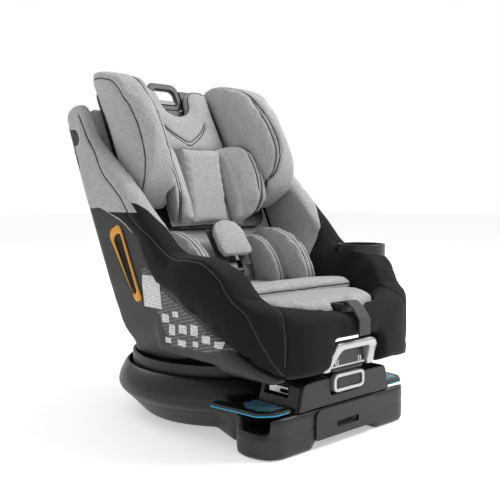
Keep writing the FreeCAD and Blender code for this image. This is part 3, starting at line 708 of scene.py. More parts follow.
def dust_group() -> bpy.types.NodeTree:
    """A trace of dust that settles on what faces up."""
    known = bpy.data.node_groups.get("Dust")
    if known:
        return known
    takes = {"Base": (0.02, 0.02, 0.02), "Amount": 0.1}
    graph, given, result = new_group("Dust", takes, {"Color": "Color"})
    where = graph.add("ShaderNodeTexCoord")
    up = graph.add("ShaderNodeSeparateXYZ", {0: where.outputs["Normal"]}).outputs[2]
    specks = graph.stepped(graph.noise(where.outputs["Object"], 420.0, 5.0), 0.45, 0.75)
    mask = graph.math("MULTIPLY", graph.math("MULTIPLY", graph.stepped(up, 0.1, 1.0), specks), given["Amount"])
    graph.tree.links.new(graph.blend(mask, given["Base"], coloured((0.35, 0.34, 0.33))), result.inputs["Color"])
    return graph.tree


# ---------------------------------------------------------------- finishes


@dataclass(frozen=True)
class Finish:
    """A named finish with its record slot."""

    name: str
    slot: str
    colour: Colour

    def material(self) -> bpy.types.Material:
        """The finish's material, made on first use."""
        known = bpy.data.materials.get(self.name)
        if known:
            return known
        material = bpy.data.materials.new(self.name)
        material.use_nodes = True
        graph = Graph(material.node_tree)
        shader = material.node_tree.nodes["Principled BSDF"]
        self.wire(graph, shader)
        return material

    def wire(self, graph: Graph, shader: bpy.types.Node) -> None:
        """Wires the material's nodes into its shader."""
        raise NotImplementedError

    def bump(
        self, graph: Graph, shader: bpy.types.Node, height: object, distance: float, strength: float
    ) -> None:
        """Lets a height ripple the surface.

        Args:
            graph: the material's graph.
            shader: its Principled shader.
            height: the height's socket.
            distance: the height's size, in metres.
            strength: how strongly it shows.
        """
        relief = graph.add("ShaderNodeBump", {"Height": height, "Distance": distance, "Strength": strength})
        graph.tree.links.new(relief.outputs[0], shader.inputs["Normal"])


@dataclass(frozen=True)
class Fabric(Finish):
    """Woven cover fabric with flecks of a second tone."""

    fleck: Colour = (0.2, 0.2, 0.2)
    pitch: float = 0.0014
    flecks: float = 0.5
    relief: float = 0.35
    sheen: float = 0.25

    def cloth(self, graph: Graph, tone: Colour, fleck: Colour) -> bpy.types.Node:
        """A weave in the material, in two tones."""
        weave = graph.add("ShaderNodeGroup", node_tree=weave_group())
        weave.inputs["Tone"].default_value = coloured(tone)
        weave.inputs["Fleck"].default_value = coloured(fleck)
        weave.inputs["Pitch"].default_value = self.pitch
        weave.inputs["Fleck Amount"].default_value = self.flecks
        return weave

    def wire(self, graph: Graph, shader: bpy.types.Node) -> None:
        """Wires the weave into the shader."""
        weave = self.cloth(graph, self.colour, self.fleck)
        graph.tree.links.new(weave.outputs["Color"], shader.inputs["Base Color"])
        self.soften(graph, shader, weave)

    def soften(self, graph: Graph, shader: bpy.types.Node, weave: bpy.types.Node) -> None:
        """Gives the shader the dull, slightly hairy look of cloth."""
        shader.inputs["Roughness"].default_value = 0.92
        shader.inputs["Specular IOR Level"].default_value = 0.2
        shader.inputs["Sheen Weight"].default_value = self.sheen
        shader.inputs["Sheen Roughness"].default_value = 0.5
        self.bump(graph, shader, weave.outputs["Height"], 0.0006, self.relief)


@dataclass(frozen=True)
class CoverFabric(Fabric):
    """The seat cover's cloth: light above a line that falls towards the front, charcoal below it."""

    dark: Colour = (0.009, 0.009, 0.0095)
    dark_fleck: Colour = (0.006, 0.006, 0.0065)
    outer_edge: float = 0.348
    arm: float = 0.2125
    edge_start: float = -0.014
    edge_slope: float = 1.4
    edge_end: float = -0.066

    def wire(self, graph: Graph, shader: bpy.types.Node) -> None:
        """Wires both cloths and the line between them into the shader."""
        light = self.cloth(graph, self.colour, self.fleck)
        dark = self.cloth(graph, self.dark, self.dark_fleck)
        where = graph.add("ShaderNodeTexCoord").outputs["Object"]
        x, y, z = graph.add("ShaderNodeSeparateXYZ", {0: where}).outputs
        across = graph.math("ABSOLUTE", x)
        above = graph.math("GREATER_THAN", z, self.outer_edge)
        run = graph.math("MULTIPLY", graph.math("SUBTRACT", self.arm, across), self.edge_slope)
        edge = graph.math("MAXIMUM", graph.math("SUBTRACT", self.edge_start, run), self.edge_end)
        behind = graph.math("GREATER_THAN", y, edge)
        outside = graph.math("GREATER_THAN", across, self.arm)
        inside = graph.math("MULTIPLY", graph.math("SUBTRACT", 1.0, outside), behind)
        mask = graph.math("MAXIMUM", graph.math("MULTIPLY", outside, above), inside)
        cloth = graph.blend(mask, dark.outputs["Color"], light.outputs["Color"])
        graph.tree.links.new(cloth, shader.inputs["Base Color"])
        self.soften(graph, shader, light)


@dataclass(frozen=True)
class Plastic(Finish):
    """Moulded plastic with a fine grain, edges rubbed lighter and a trace of dust."""

    roughness: float = 0.45
    grain: float = 1400.0
    relief: float = 0.12
    worn: Colour = (0.05, 0.05, 0.05)
    wear: float = 0.35
    dust: float = 0.06
    metallic: float = 0.0
    coat: float = 0.0

    def wire(self, graph: Graph, shader: bpy.types.Node) -> None:
        """Wires grain, wear and dust into the shader."""
        wear = graph.add("ShaderNodeGroup", node_tree=wear_group())
        wear.inputs["Tone"].default_value = coloured(self.colour)
        wear.inputs["Worn"].default_value = coloured(self.worn)
        wear.inputs["Amount"].default_value = self.wear
        settled = {"Base": wear.outputs["Color"], "Amount": self.dust}
        dust = graph.add("ShaderNodeGroup", settled, node_tree=dust_group())
        surface = {"Scale": self.grain, "Roughness": self.roughness}
        grain = graph.add("ShaderNodeGroup", surface, node_tree=grain_group())
        graph.tree.links.new(dust.outputs["Color"], shader.inputs["Base Color"])
        graph.tree.links.new(grain.outputs["Roughness"], shader.inputs["Roughness"])
        shader.inputs["Metallic"].default_value = self.metallic
        shader.inputs["Coat Weight"].default_value = self.coat
        shader.inputs["Coat Roughness"].default_value = 0.2
        self.bump(graph, shader, grain.outputs["Height"], 0.0002, self.relief)


@dataclass(frozen=True)
class Webbing(Finish):
    """Black harness webbing: ribs across the strap."""

    rib: float = 0.0016

    def wire(self, graph: Graph, shader: bpy.types.Node) -> None:
        """Wires the ribs into the shader."""
        weave = graph.add("ShaderNodeGroup", node_tree=weave_group())
        weave.inputs["Tone"].default_value = coloured(self.colour)
        weave.inputs["Fleck"].default_value = coloured(tuple(c * 2.2 for c in self.colour))
        weave.inputs["Pitch"].default_value = self.rib
        weave.inputs["Fleck Amount"].default_value = 0.4
        graph.tree.links.new(weave.outputs["Color"], shader.inputs["Base Color"])
        shader.inputs["Roughness"].default_value = 0.6
        shader.inputs["Sheen Weight"].default_value = 0.15
        self.bump(graph, shader, weave.outputs["Height"], 0.0008, 0.6)


@dataclass(frozen=True)
class PrintedSheet(Finish):
    """A printed notice with no words: rows of dashes of uneven length on a plain ground."""

    ink: Colour = (0.3, 0.3, 0.3)
    row: float = 0.004
    dash: float = 0.02
    gap: float = 0.45

    def wire(self, graph: Graph, shader: bpy.types.Node) -> None:
        """Wires the rows of dashes into the shader."""
        where = graph.add("ShaderNodeTexCoord").outputs["Object"]
        x, y, z = graph.add("ShaderNodeSeparateXYZ", {0: where}).outputs
        across = graph.math("ADD", x, y)
        rows = graph.math("DIVIDE", graph.math("ADD", z, graph.math("MULTIPLY", across, 0.25)), self.row)
        line = graph.math("LESS_THAN", graph.math("FRACT", rows), self.gap)
        place_in_row = {0: graph.math("DIVIDE", across, self.dash), 1: graph.math("FLOOR", rows)}
        spot = graph.add("ShaderNodeCombineXYZ", place_in_row)
        broken = graph.math("GREATER_THAN", graph.noise(spot.outputs[0], 3.0, 1.0), 0.43)
        printed = graph.math("MULTIPLY", graph.math("MULTIPLY", line, broken), 0.8)
        tone = graph.blend(printed, coloured(self.colour), coloured(self.ink))
        graph.tree.links.new(tone, shader.inputs["Base Color"])
        shader.inputs["Roughness"].default_value = 0.4
        shader.inputs["Coat Weight"].default_value = 0.2


LIGHT = Fabric("light_heather_fabric", "light_fabric", (0.46, 0.46, 0.465), fleck=(0.29, 0.29, 0.295), flecks=0.8)
COVER = CoverFabric(
    "two_tone_cover_fabric", "light_fabric", LIGHT.colour, fleck=LIGHT.fleck, flecks=0.8, sheen=0.04
)
# Dark cord for the seams: partly real piping, partly painted shade for the shadow in each seam.
PIPING_AND_SEAM_SHADE = Fabric("dark_piping", "charcoal_fabric", (0.03, 0.03, 0.031), fleck=(0.02, 0.02, 0.02), pitch=0.0008)
SHELL = Plastic("shell_black_plastic", "black_plastic", (0.008, 0.008, 0.0085), roughness=0.5)
BASE = Plastic("base_black_plastic", "black_plastic", (0.006, 0.006, 0.0065), roughness=0.42, dust=0.03)
SATIN = Plastic(
    "satin_black_plastic", "black_plastic", (0.006, 0.006, 0.0065), roughness=0.32, grain=2200.0, relief=0.05
)
SILVER = Plastic(
    "brushed_silver_handle", "silver", (0.5, 0.5, 0.51), roughness=0.3, grain=2600.0, relief=0.04,
    worn=(0.75, 0.75, 0.76), metallic=0.75,
)
STEEL = Plastic("plain_steel", "steel", (0.55, 0.55, 0.56), roughness=0.3, worn=(0.7, 0.7, 0.7), metallic=1.0)
RUBBER = Plastic("grey_rubber", "rubber", (0.03, 0.03, 0.03), roughness=0.85, relief=0.3)
ORANGE = Plastic("orange_belt_guide", "orange_frame", (0.62, 0.27, 0.02), roughness=0.35, worn=(0.9, 0.45, 0.1))
RED = Plastic("red_button", "red_button", (0.6, 0.03, 0.02), roughness=0.3, worn=(0.7, 0.1, 0.08), coat=0.3)
BLUE = Plastic("blue_belt_line", "blue_trim", (0.01, 0.30, 0.46), roughness=0.35, worn=(0.1, 0.45, 0.6))
STRAP = Webbing("harness_webbing", "webbing", (0.012, 0.012, 0.012))
NOTICE = PrintedSheet(
    "dark_notice", "label_lid", (0.012, 0.014, 0.016), ink=(0.13, 0.14, 0.15), row=0.0055, gap=0.3
)
WHITE_NOTICE = PrintedSheet("white_notice", "label_lid", (0.62, 0.63, 0.63), ink=(0.25, 0.26, 0.28), row=0.0035)
BLUE_NOTICE = PrintedSheet("blue_notice", "label_lid", (0.02, 0.16, 0.26), ink=(0.3, 0.5, 0.6), row=0.0045)
PALE_PRINT = Plastic("pale_print", "light_fabric", (0.75, 0.75, 0.75), roughness=0.5, wear=0.0)


# ---------------------------------------------------------------- modelling by hand


def select_faces(piece: bpy.types.Object, chosen: Callable[[bpy.types.MeshPolygon], bool]) -> None:
    """Goes into edit mode with only the faces that a test picks."""
    activate(piece)
    bpy.ops.object.mode_set(mode="EDIT")
    bpy.ops.mesh.select_mode(type="FACE")
    bpy.ops.mesh.select_all(action="DESELECT")
    bpy.ops.object.mode_set(mode="OBJECT")
    for face in piece.data.polygons:
        face.select = chosen(face)
    bpy.ops.object.mode_set(mode="EDIT")


def object_mode() -> None:
    """Back to object mode."""
    bpy.ops.object.mode_set(mode="OBJECT")


def new_box(name: str, centre: Point, span: Point) -> bpy.types.Object:
    """A box at its size and place, in metres."""
    deselect_all()
    bpy.ops.mesh.primitive_cube_add(size=1, location=centre, scale=span)
    piece = bpy.context.object
    piece.name = name
    settle(piece)
    return piece


def new_disc(name: str, centre: Point, radius: float, depth: float, sides: int = 48) -> bpy.types.Object:
    """An upright cylinder at its size and place, in metres."""
    deselect_all()
    bpy.ops.mesh.primitive_cylinder_add(vertices=sides, radius=radius, depth=depth, location=centre)
    piece = bpy.context.object
    piece.name = name
    settle(piece)
    return piece


def bevelled(piece: bpy.types.Object, width: float, segments: int = 3) -> bpy.types.Object:
    """Rounds a piece's edges and shades it smooth."""
    bevel = piece.modifiers.new("bevel", "BEVEL")
    bevel.width = width
    bevel.segments = segments
    bevel.limit_method = "ANGLE"
    bevel.angle_limit = math.radians(BEVEL_FROM)
    apply_all(piece)
    outward(piece)
    smooth_shade(piece, SHARP_FROM)
    return piece


def copied(piece: bpy.types.Object, name: str, move: Point) -> bpy.types.Object:
    """A moved copy of a piece, with its own mesh."""
    twin = bpy.data.objects.new(name, piece.data.copy())
    bpy.context.collection.objects.link(twin)
    place(twin, positions(twin) + np.array(move))
    return twin


def joined(name: str, parts: Sequence[bpy.types.Object]) -> bpy.types.Object:
    """Several pieces made one."""
    deselect_all()
    for part in parts:
        part.select_set(True)
    bpy.context.view_layer.objects.active = parts[0]
    bpy.ops.object.join()
    parts[0].name = name
    return parts[0]


def inside(spot: tuple[float, float], corners: Sequence[tuple[float, float]]) -> bool:
    """Whether a flat point lies within an outline."""
    x, y = spot
    within = False
    for (x0, y0), (x1, y1) in zip(corners, [*corners[1:], corners[0]]):
        if (y0 > y) != (y1 > y) and x < (x1 - x0) * (y - y0) / (y1 - y0) + x0:
            within = not within
    return within


@dataclass
class Sticker:
    """A thin sheet that follows the surface under it, cut to an outline.

    The outline is given on a flat frame: corner, one direction across and one up; the sheet is pressed onto the
    surface along the frame's normal.
    """

    name: str
    outline: Sequence[tuple[float, float]]
    finish: Finish
    corner: Vector
    across: Vector
    up: Vector
    lift: float = 0.0004
    step: float = 0.004

    def build(self, surface: bpy.types.Object, body: str) -> bpy.types.Object:
        """Presses the sheet onto a surface.

        Args:
            surface: the piece that it is stuck on.
            body: the body that it rides on.

        Returns:
            The sheet.
        """
        deselect_all()
        bpy.ops.mesh.primitive_plane_add(size=2)
        sheet = bpy.context.object
        sheet.name = self.name
        low = np.min(self.outline, axis=0)
        high = np.max(self.outline, axis=0)
        bpy.ops.object.mode_set(mode="EDIT")
        cuts = int(max(high - low) / self.step)
        bpy.ops.mesh.subdivide(number_cuts=min(max(cuts, 4), 60))
        object_mode()
        flat = (positions(sheet)[:, :2] + 1) / 2 * (high - low) + low
        tree = tree_of(surface)
        normal = self.across.cross(self.up).normalized()
        spots = [self.pressed(tree, a, b, normal) for a, b in flat]
        place(sheet, np.array(spots))
        centres = {face.index: np.mean([flat[v] for v in face.vertices], axis=0) for face in sheet.data.polygons}
        select_faces(sheet, lambda face: not inside(tuple(centres[face.index]), self.outline))
        bpy.ops.mesh.delete(type="FACE")
        object_mode()
        thick = sheet.modifiers.new("paper", "SOLIDIFY")
        thick.thickness = self.lift / 2
        apply_all(sheet)
        outward(sheet)
        smooth_shade(sheet, SHARP_FROM)
        return dress(sheet, self.finish, body)

    def pressed(self, tree: BVHTree, a: float, b: float, normal: Vector) -> list[float]:
        """One of the sheet's points on the surface, lifted a little."""
        start = self.corner + self.across * a + self.up * b
        hit, facing, _, _ = tree.ray_cast(start + normal * 0.06, -normal)
        if hit is None:
            hit, facing, _, _ = tree.find_nearest(start)
        return list(hit + facing * self.lift)


# ---------------------------------------------------------------- sub-assemblies


@dataclass
class Base:
    """The base that stands on the vehicle's seat: bowl, foot, tower, lids, feet and stowed connectors."""

    body: str = "base"
    parting_height: float = 0.034
    plate_heading: float = 118
    plate_distance: float = 0.2
    plate_outline: Sequence[tuple[float, float]] = (
        (-0.03, 0.078), (0.03, 0.078), (0.034, 0.082), (0.034, 0.094), (0.03, 0.098), (-0.03, 0.098),
        (-0.034, 0.094), (-0.034, 0.082),
    )
    lid_outline: Sequence[tuple[float, float]] = (
        (0.118, -0.260), (0.148, -0.260), (0.158, -0.246), (0.158, -0.220), (0.145, -0.203), (0.118, -0.203),
    )

    def build(self, frame: dict) -> None:
        """Builds and dresses the whole base."""
        nodes = ["base_tray", "base_bowl", "foot_cover"]
        hull = Moulding("base_hull", nodes, self.body, BASE, voxel=0.003, smoothing=34).build(frame)
        self.press_parting_line(hull)
        Moulding("tower_block", ["latch_tower"], self.body, BASE, voxel=0.002, smoothing=5).build(frame)
        paint(frame, SATIN, "side_plate_left", "side_plate_right")
        paint(frame, BASE, "foot_panel")
        paint(frame, RUBBER, "rubber_pads")
        paint(frame, STEEL, "bearing_ring", "anchor_connector_left", "anchor_connector_right")
        for side in Side:
            self.build_lid(frame, side)
            self.build_notice(frame, hull, side)

    def press_parting_line(self, hull: bpy.types.Object) -> None:
        """Presses the line where the foot's two mouldings meet."""
        points = positions(hull)
        normals = directions(hull)
        height = points[:, 2] - self.parting_height
        outside = np.hypot(points[:, 0], points[:, 1]) > 0.15
        depth = 0.0009 * np.exp(-((height / 0.0016) ** 2)) * outside
        place(hull, points - normals * depth[:, None])

    def build_lid(self, frame: dict, side: Side) -> None:
        """Builds one lid over the belt channel and its bright line."""
        body = "lid_" + side.word
        nodes = ["belt_lid_" + side.word]
        lid = Moulding("belt_lid_cover_" + side.word, nodes, body, SATIN, 0.0012, 6).build(frame)
        Moulding("belt_line_" + side.word, ["belt_trim_" + side.word], body, BLUE, 0.0008, 3).build(frame)
        sign = side.value
        flat = [(a * sign, b) for a, b in self.lid_outline]
        up = Vector((0, 1, 0))
        sheet = Sticker("lid_notice_" + side.word, flat, BLUE_NOTICE, Vector((0, 0, 0.07)), Vector((1, 0, 0)), up)
        sheet.build(lid, body)

    def build_notice(self, frame: dict, hull: bpy.types.Object, side: Side) -> None:
        """Builds the small plate with rounded corners at the back of the bowl."""
        heading = math.radians(270 + side.value * self.plate_heading)
        outwards = Vector((math.cos(heading), math.sin(heading), 0))
        across = Vector((0, 0, 1)).cross(outwards)
        corner = outwards * self.plate_distance
        name = "bowl_plate_" + side.word
        sheet = Sticker(name, self.plate_outline, SATIN, corner, across, Vector((0, 0, 1)), step=0.002)
        sheet.build(hull, self.body)


@dataclass
class ReclineHandle:
    """The pull on the tower: a dark ribbed paddle in a bright frame."""

    body: str = "recline_pull"
    half_width: float = 0.030
    front: float = -0.2812
    low: float = 0.086
    high: float = 0.101

    def build(self, frame: dict) -> None:
        """Builds frame, paddle and its grip ribs."""
        Moulding("recline_surround", ["recline_frame"], self.body, SILVER, 0.0009, 5).build(frame)
        Moulding("recline_grip", ["recline_paddle"], self.body, SATIN, 0.0012, 4).build(frame)
        rib = new_box("rib", (0, self.front, self.low), (2 * self.half_width * 0.8, 0.0012, 0.0011))
        bevelled(rib, 0.0004)
        ribs = [copied(rib, "rib", (0, 0, (self.high - self.low) * i / 4)) for i in range(1, 5)]
        dress(joined("recline_ribs", [rib, *ribs]), SATIN, self.body)


@dataclass
class Turntable:
    """The turning disc with its skirt, saddle, rails and the rotation handle's housing."""

    body: str = "turntable"
    chevron_height: float = 0.124
    chevron_front: float = -0.2804
    chevron_size: float = 0.006

    def build(self, frame: dict) -> None:
        """Builds and dresses the turntable."""
        paint(frame, SHELL, "turntable_skirt", "recline_saddle")
        paint(frame, STEEL, "recline_rails")
        Moulding("handle_housing", ["rotation_housing"], self.body, SATIN, 0.0015, 5).build(frame)
        self.build_chevrons()

    def build_chevrons(self) -> None:
        """Builds the double chevrons, one pair pointing to each side."""
        parts = []
        for side in Side:
            for offset in (0.024, 0.029):
                parts += [self.stroke(side, offset, slope) for slope in (-1, 1)]
        dress(joined("turn_chevrons", parts), PALE_PRINT, self.body)

    def stroke(self, side: Side, offset: float, slope: int) -> bpy.types.Object:
        """One stroke of a chevron."""
        size = self.chevron_size
        stroke = new_box("stroke", (0, 0, 0), (size, 0.0008, 0.0016))
        lean = side.value * slope * math.radians(52)
        turned = Matrix.Rotation(lean, 4, "Y")
        middle = Vector((side.value * offset, self.chevron_front, self.chevron_height + slope * size * 0.36))
        place(stroke, np.array([list(turned @ v.co + middle) for v in stroke.data.vertices]))
        return bevelled(stroke, 0.0003, 2)


@dataclass
class RotationHandle:
    """The bright bow that is pulled to turn the seat."""

    body: str = "rotation_pull"

    def build(self, frame: dict) -> None:
        """Builds the bow and dresses its hinge pin."""
        Moulding("turn_bow", ["rotation_handle"], self.body, SILVER, 0.0014, 14).build(frame)
        paint(frame, STEEL, "hinge_pin")


@dataclass
class Shell:
    """The seat's moulded shell with rear panel and its screws, belt guides and notices."""

    body: str = "seat"
    notice_outline: Sequence[tuple[float, float]] = (
        (-0.030, 0.262), (-0.046, 0.262), (-0.080, 0.232), (-0.118, 0.214), (-0.188, 0.180), (-0.240, 0.160),
        (-0.190, 0.150), (-0.098, 0.147), (-0.074, 0.182), (-0.036, 0.250),
    )
    white_sheets: Sequence[tuple[float, float, float, float]] = (
        (-0.056, 0.226, 0.046, 0.050), (-0.086, 0.188, 0.018, 0.013), (-0.112, 0.197, 0.014, 0.009),
        (-0.102, 0.172, 0.015, 0.016), (-0.128, 0.176, 0.019, 0.013), (-0.155, 0.178, 0.017, 0.016),
        (-0.182, 0.168, 0.018, 0.011), (-0.208, 0.164, 0.016, 0.009), (-0.126, 0.155, 0.020, 0.009),
        (-0.092, 0.155, 0.014, 0.008), (-0.158, 0.158, 0.012, 0.008),
    )
    notice_side: float = 0.21
    screw_spots: Sequence[tuple[float, float]] = ((122, 60), (-122, 60), (122, 330), (-122, 330))
    screw_out: float = -60.5
    screw_radius: float = 0.0055
    screw_depth: float = 0.003

    def build(self, frame: dict) -> None:
        """Builds and dresses the shell and what is fixed to it."""
        shell = Moulding("seat_bucket", ["seat_shell"], self.body, SHELL, voxel=0.004, smoothing=10).build(frame)
        Moulding("rear_cover", ["rear_panel"], self.body, SHELL, voxel=0.003, smoothing=5).build(frame)
        for side in Side:
            name = "belt_frame_" + side.word
            Moulding("belt_guide_" + side.word, [name], self.body, ORANGE, voxel=0.0015, smoothing=5).build(frame)
            self.build_notices(shell, side)
        self.build_screws()

    def build_notices(self, shell: bpy.types.Object, side: Side) -> None:
        """Sticks the dark notice and its small white sheets on one side of the shell."""
        corner = Vector((side.value * self.notice_side, 0, 0))
        up = Vector((0, 0, 1))
        flat = [(y * side.value, z) for y, z in self.notice_outline]
        across = Vector((0, side.value, 0))
        Sticker("side_notice_" + side.word, flat, NOTICE, corner, across, up).build(shell, self.body)
        for i, (y, z, wide, tall) in enumerate(self.white_sheets):
            corners = [(y - wide / 2, z - tall / 2), (y + wide / 2, z - tall / 2), (y + wide / 2, z + tall / 2)]
            corners.append((y - wide / 2, z + tall / 2))
            flat = [(a * side.value, b) for a, b in corners]
            name = f"small_notice_{side.word}_{i}"
            sheet = Sticker(name, flat, WHITE_NOTICE, corner, across, up, lift=0.0009, step=0.002)
            sheet.build(shell, self.body)

    def build_screws(self) -> None:
        """Builds the screws that hold the rear panel."""
        turned = Matrix.Rotation(-math.radians(90) - LEAN, 4, "X")
        for i, (x, up) in enumerate(self.screw_spots):
            centre = back_point(x, up, self.screw_out)
            screw = new_disc(f"rear_screw_{i}", (0, 0, 0), self.screw_radius, self.screw_depth, 24)
            select_faces(screw, lambda face: face.normal.z > 0.9)
            bpy.ops.mesh.inset(thickness=self.screw_radius * 4 / 11)
            bpy.ops.mesh.extrude_region_move(TRANSFORM_OT_translate={"value": (0, 0, -self.screw_depth * 0.4)})
            object_mode()
            place(screw, np.array([list(turned @ v.co + centre) for v in screw.data.vertices]))
            bevelled(screw, 0.0004, 2)
            dress(screw, STEEL, self.body)


@dataclass
class Cover:
    """The sewn seat cover: bolsters, arms and front, one padded piece with its seams."""

    body: str = "seat"
    nodes: Sequence[str] = ("bolster_left", "bolster_right", "side_cover_left", "side_cover_right", "front_pad")
    arm_line: Sequence[Point] = (
        (213, 160, 518), (213, 103, 457), (213, 71, 416), (213, 41, 393), (213, 11, 370), (213, -15, 342),
        (213, -50, 320), (213, -106, 292), (213, -155, 285), (213, -189, 281), (212, -213, 262), (208, -232, 238),
        (200, -255, 218), (188, -272, 184), (170, -285, 150), (150, -292, 118),
    )
    front_line: Sequence[Point] = (
        (130, -235, 221), (136, -262, 209), (142, -283, 187), (147, -294, 160), (150, -296, 134),
    )

    def build(self, frame: dict) -> None:
        """Builds the cover, then its seams."""
        size = {"voxel": 0.0045, "smoothing": 18, "cap": 0.004, "shrink": 0.001}
        cover = Pad("seat_cover", self.nodes, self.body, COVER, **size).build(frame)
        for side in Side:
            for name, line in (("arm_piping_", self.arm_line), ("front_seam_", self.front_line)):
                path = both_sides([side_point(*p) for p in line], side)
                Seam(name + side.word, path, PIPING_AND_SEAM_SHADE, radius=0.0012, depth=0.0022).build([cover], self.body)


@dataclass
class Cushions:
    """The seat cushion and the cloth-covered back."""

    body: str = "seat"

    def build(self, frame: dict) -> None:
        """Builds both cushions."""
        Pad("seat_pad", ["seat_cushion"], self.body, LIGHT, smoothing=6, cap=0.005, shrink=0.001).build(frame)
        Pad("back_rest_pad", ["back_pad"], self.body, LIGHT, smoothing=4, cap=0.002, shrink=0.0).build(frame)


@dataclass
class Insert:
    """The infant insert: two wings on each side, a back and a roll across the front."""

    body: str = "seat"
    outer_line: Sequence[Point] = (
        (114.5, -96, 222), (114.5, -99, 246), (114.5, -77, 284), (114.5, -44, 307), (114.5, -12, 317),
        (114.5, 20, 318),
    )
    inner_line: Sequence[Point] = (
        (85.5, -60, 220), (85.5, -56, 240), (85.5, -41, 270), (85.5, -14, 294), (85.5, 14, 305),
    )
    roll_line: Sequence[Point] = ((-122, -186, 224), (-60, -187, 223), (60, -187, 223), (122, -186, 224))

    def build(self, frame: dict) -> None:
        """Builds the wings, the back, the roll and their seams."""
        wings = {
            "outer": Pad("insert_outer_left", ["insert_outer_wing_left"], self.body, LIGHT, voxel=0.004),
            "inner": Pad("insert_inner_left", ["insert_inner_wing_left"], self.body, LIGHT, voxel=0.004),
        }
        for word, line in (("outer", self.outer_line), ("inner", self.inner_line)):
            left, right = wings[word].pair(frame)
            for side, pad in ((Side.LEFT, left), (Side.RIGHT, right)):
                for shift in (-5, 5):
                    moved = [side_point(x + shift, y, z) for x, y, z in line]
                    name = f"insert_{word}_seam_{side.word}_{'in' if shift < 0 else 'out'}"
                    seam = Seam(name, both_sides(moved, side), PIPING_AND_SEAM_SHADE, radius=0.0009, depth=0.0018)
                    seam.build([pad], self.body)
        shape = {"voxel": 0.003, "smoothing": 8, "cap": 0.004}
        roll = Pad("insert_roll", ["insert_bar"], self.body, LIGHT, **shape).build(frame)
        path = [side_point(*p) for p in self.roll_line]
        Seam("insert_roll_seam", path, PIPING_AND_SEAM_SHADE, radius=0.001).build([roll], self.body)
        Pad("insert_rear", ["insert_back"], self.body, LIGHT, voxel=0.004, smoothing=5, cap=0.004).build(frame)


@dataclass
class Harness:
    """The five-point harness: chest pad, clip, straps, buckle and adjuster."""

    body: str = "seat"

    def build(self, frame: dict) -> None:
        """Builds the harness."""
        Pad("chest_shield", ["chest_pad"], self.body, LIGHT, voxel=0.003, smoothing=8, cap=0.004).build(frame)
        Moulding("chest_buckle", ["chest_clip"], self.body, SATIN, 0.0012, 4).build(frame)
        paint(frame, STRAP, "shoulder_straps", "adjuster_strap")
        paint(frame, STEEL, "buckle_tongues")
        Moulding("crotch_buckle", ["buckle"], self.body, SATIN, 0.0012, 5).build(frame)
        Moulding("buckle_press", ["buckle_button"], "buckle_press", RED, 0.0008, 4).build(frame)
        Moulding("adjuster_frame", ["adjuster_bezel"], self.body, SATIN, 0.001, 4).build(frame)
        paint(frame, SATIN, "adjuster_lever")


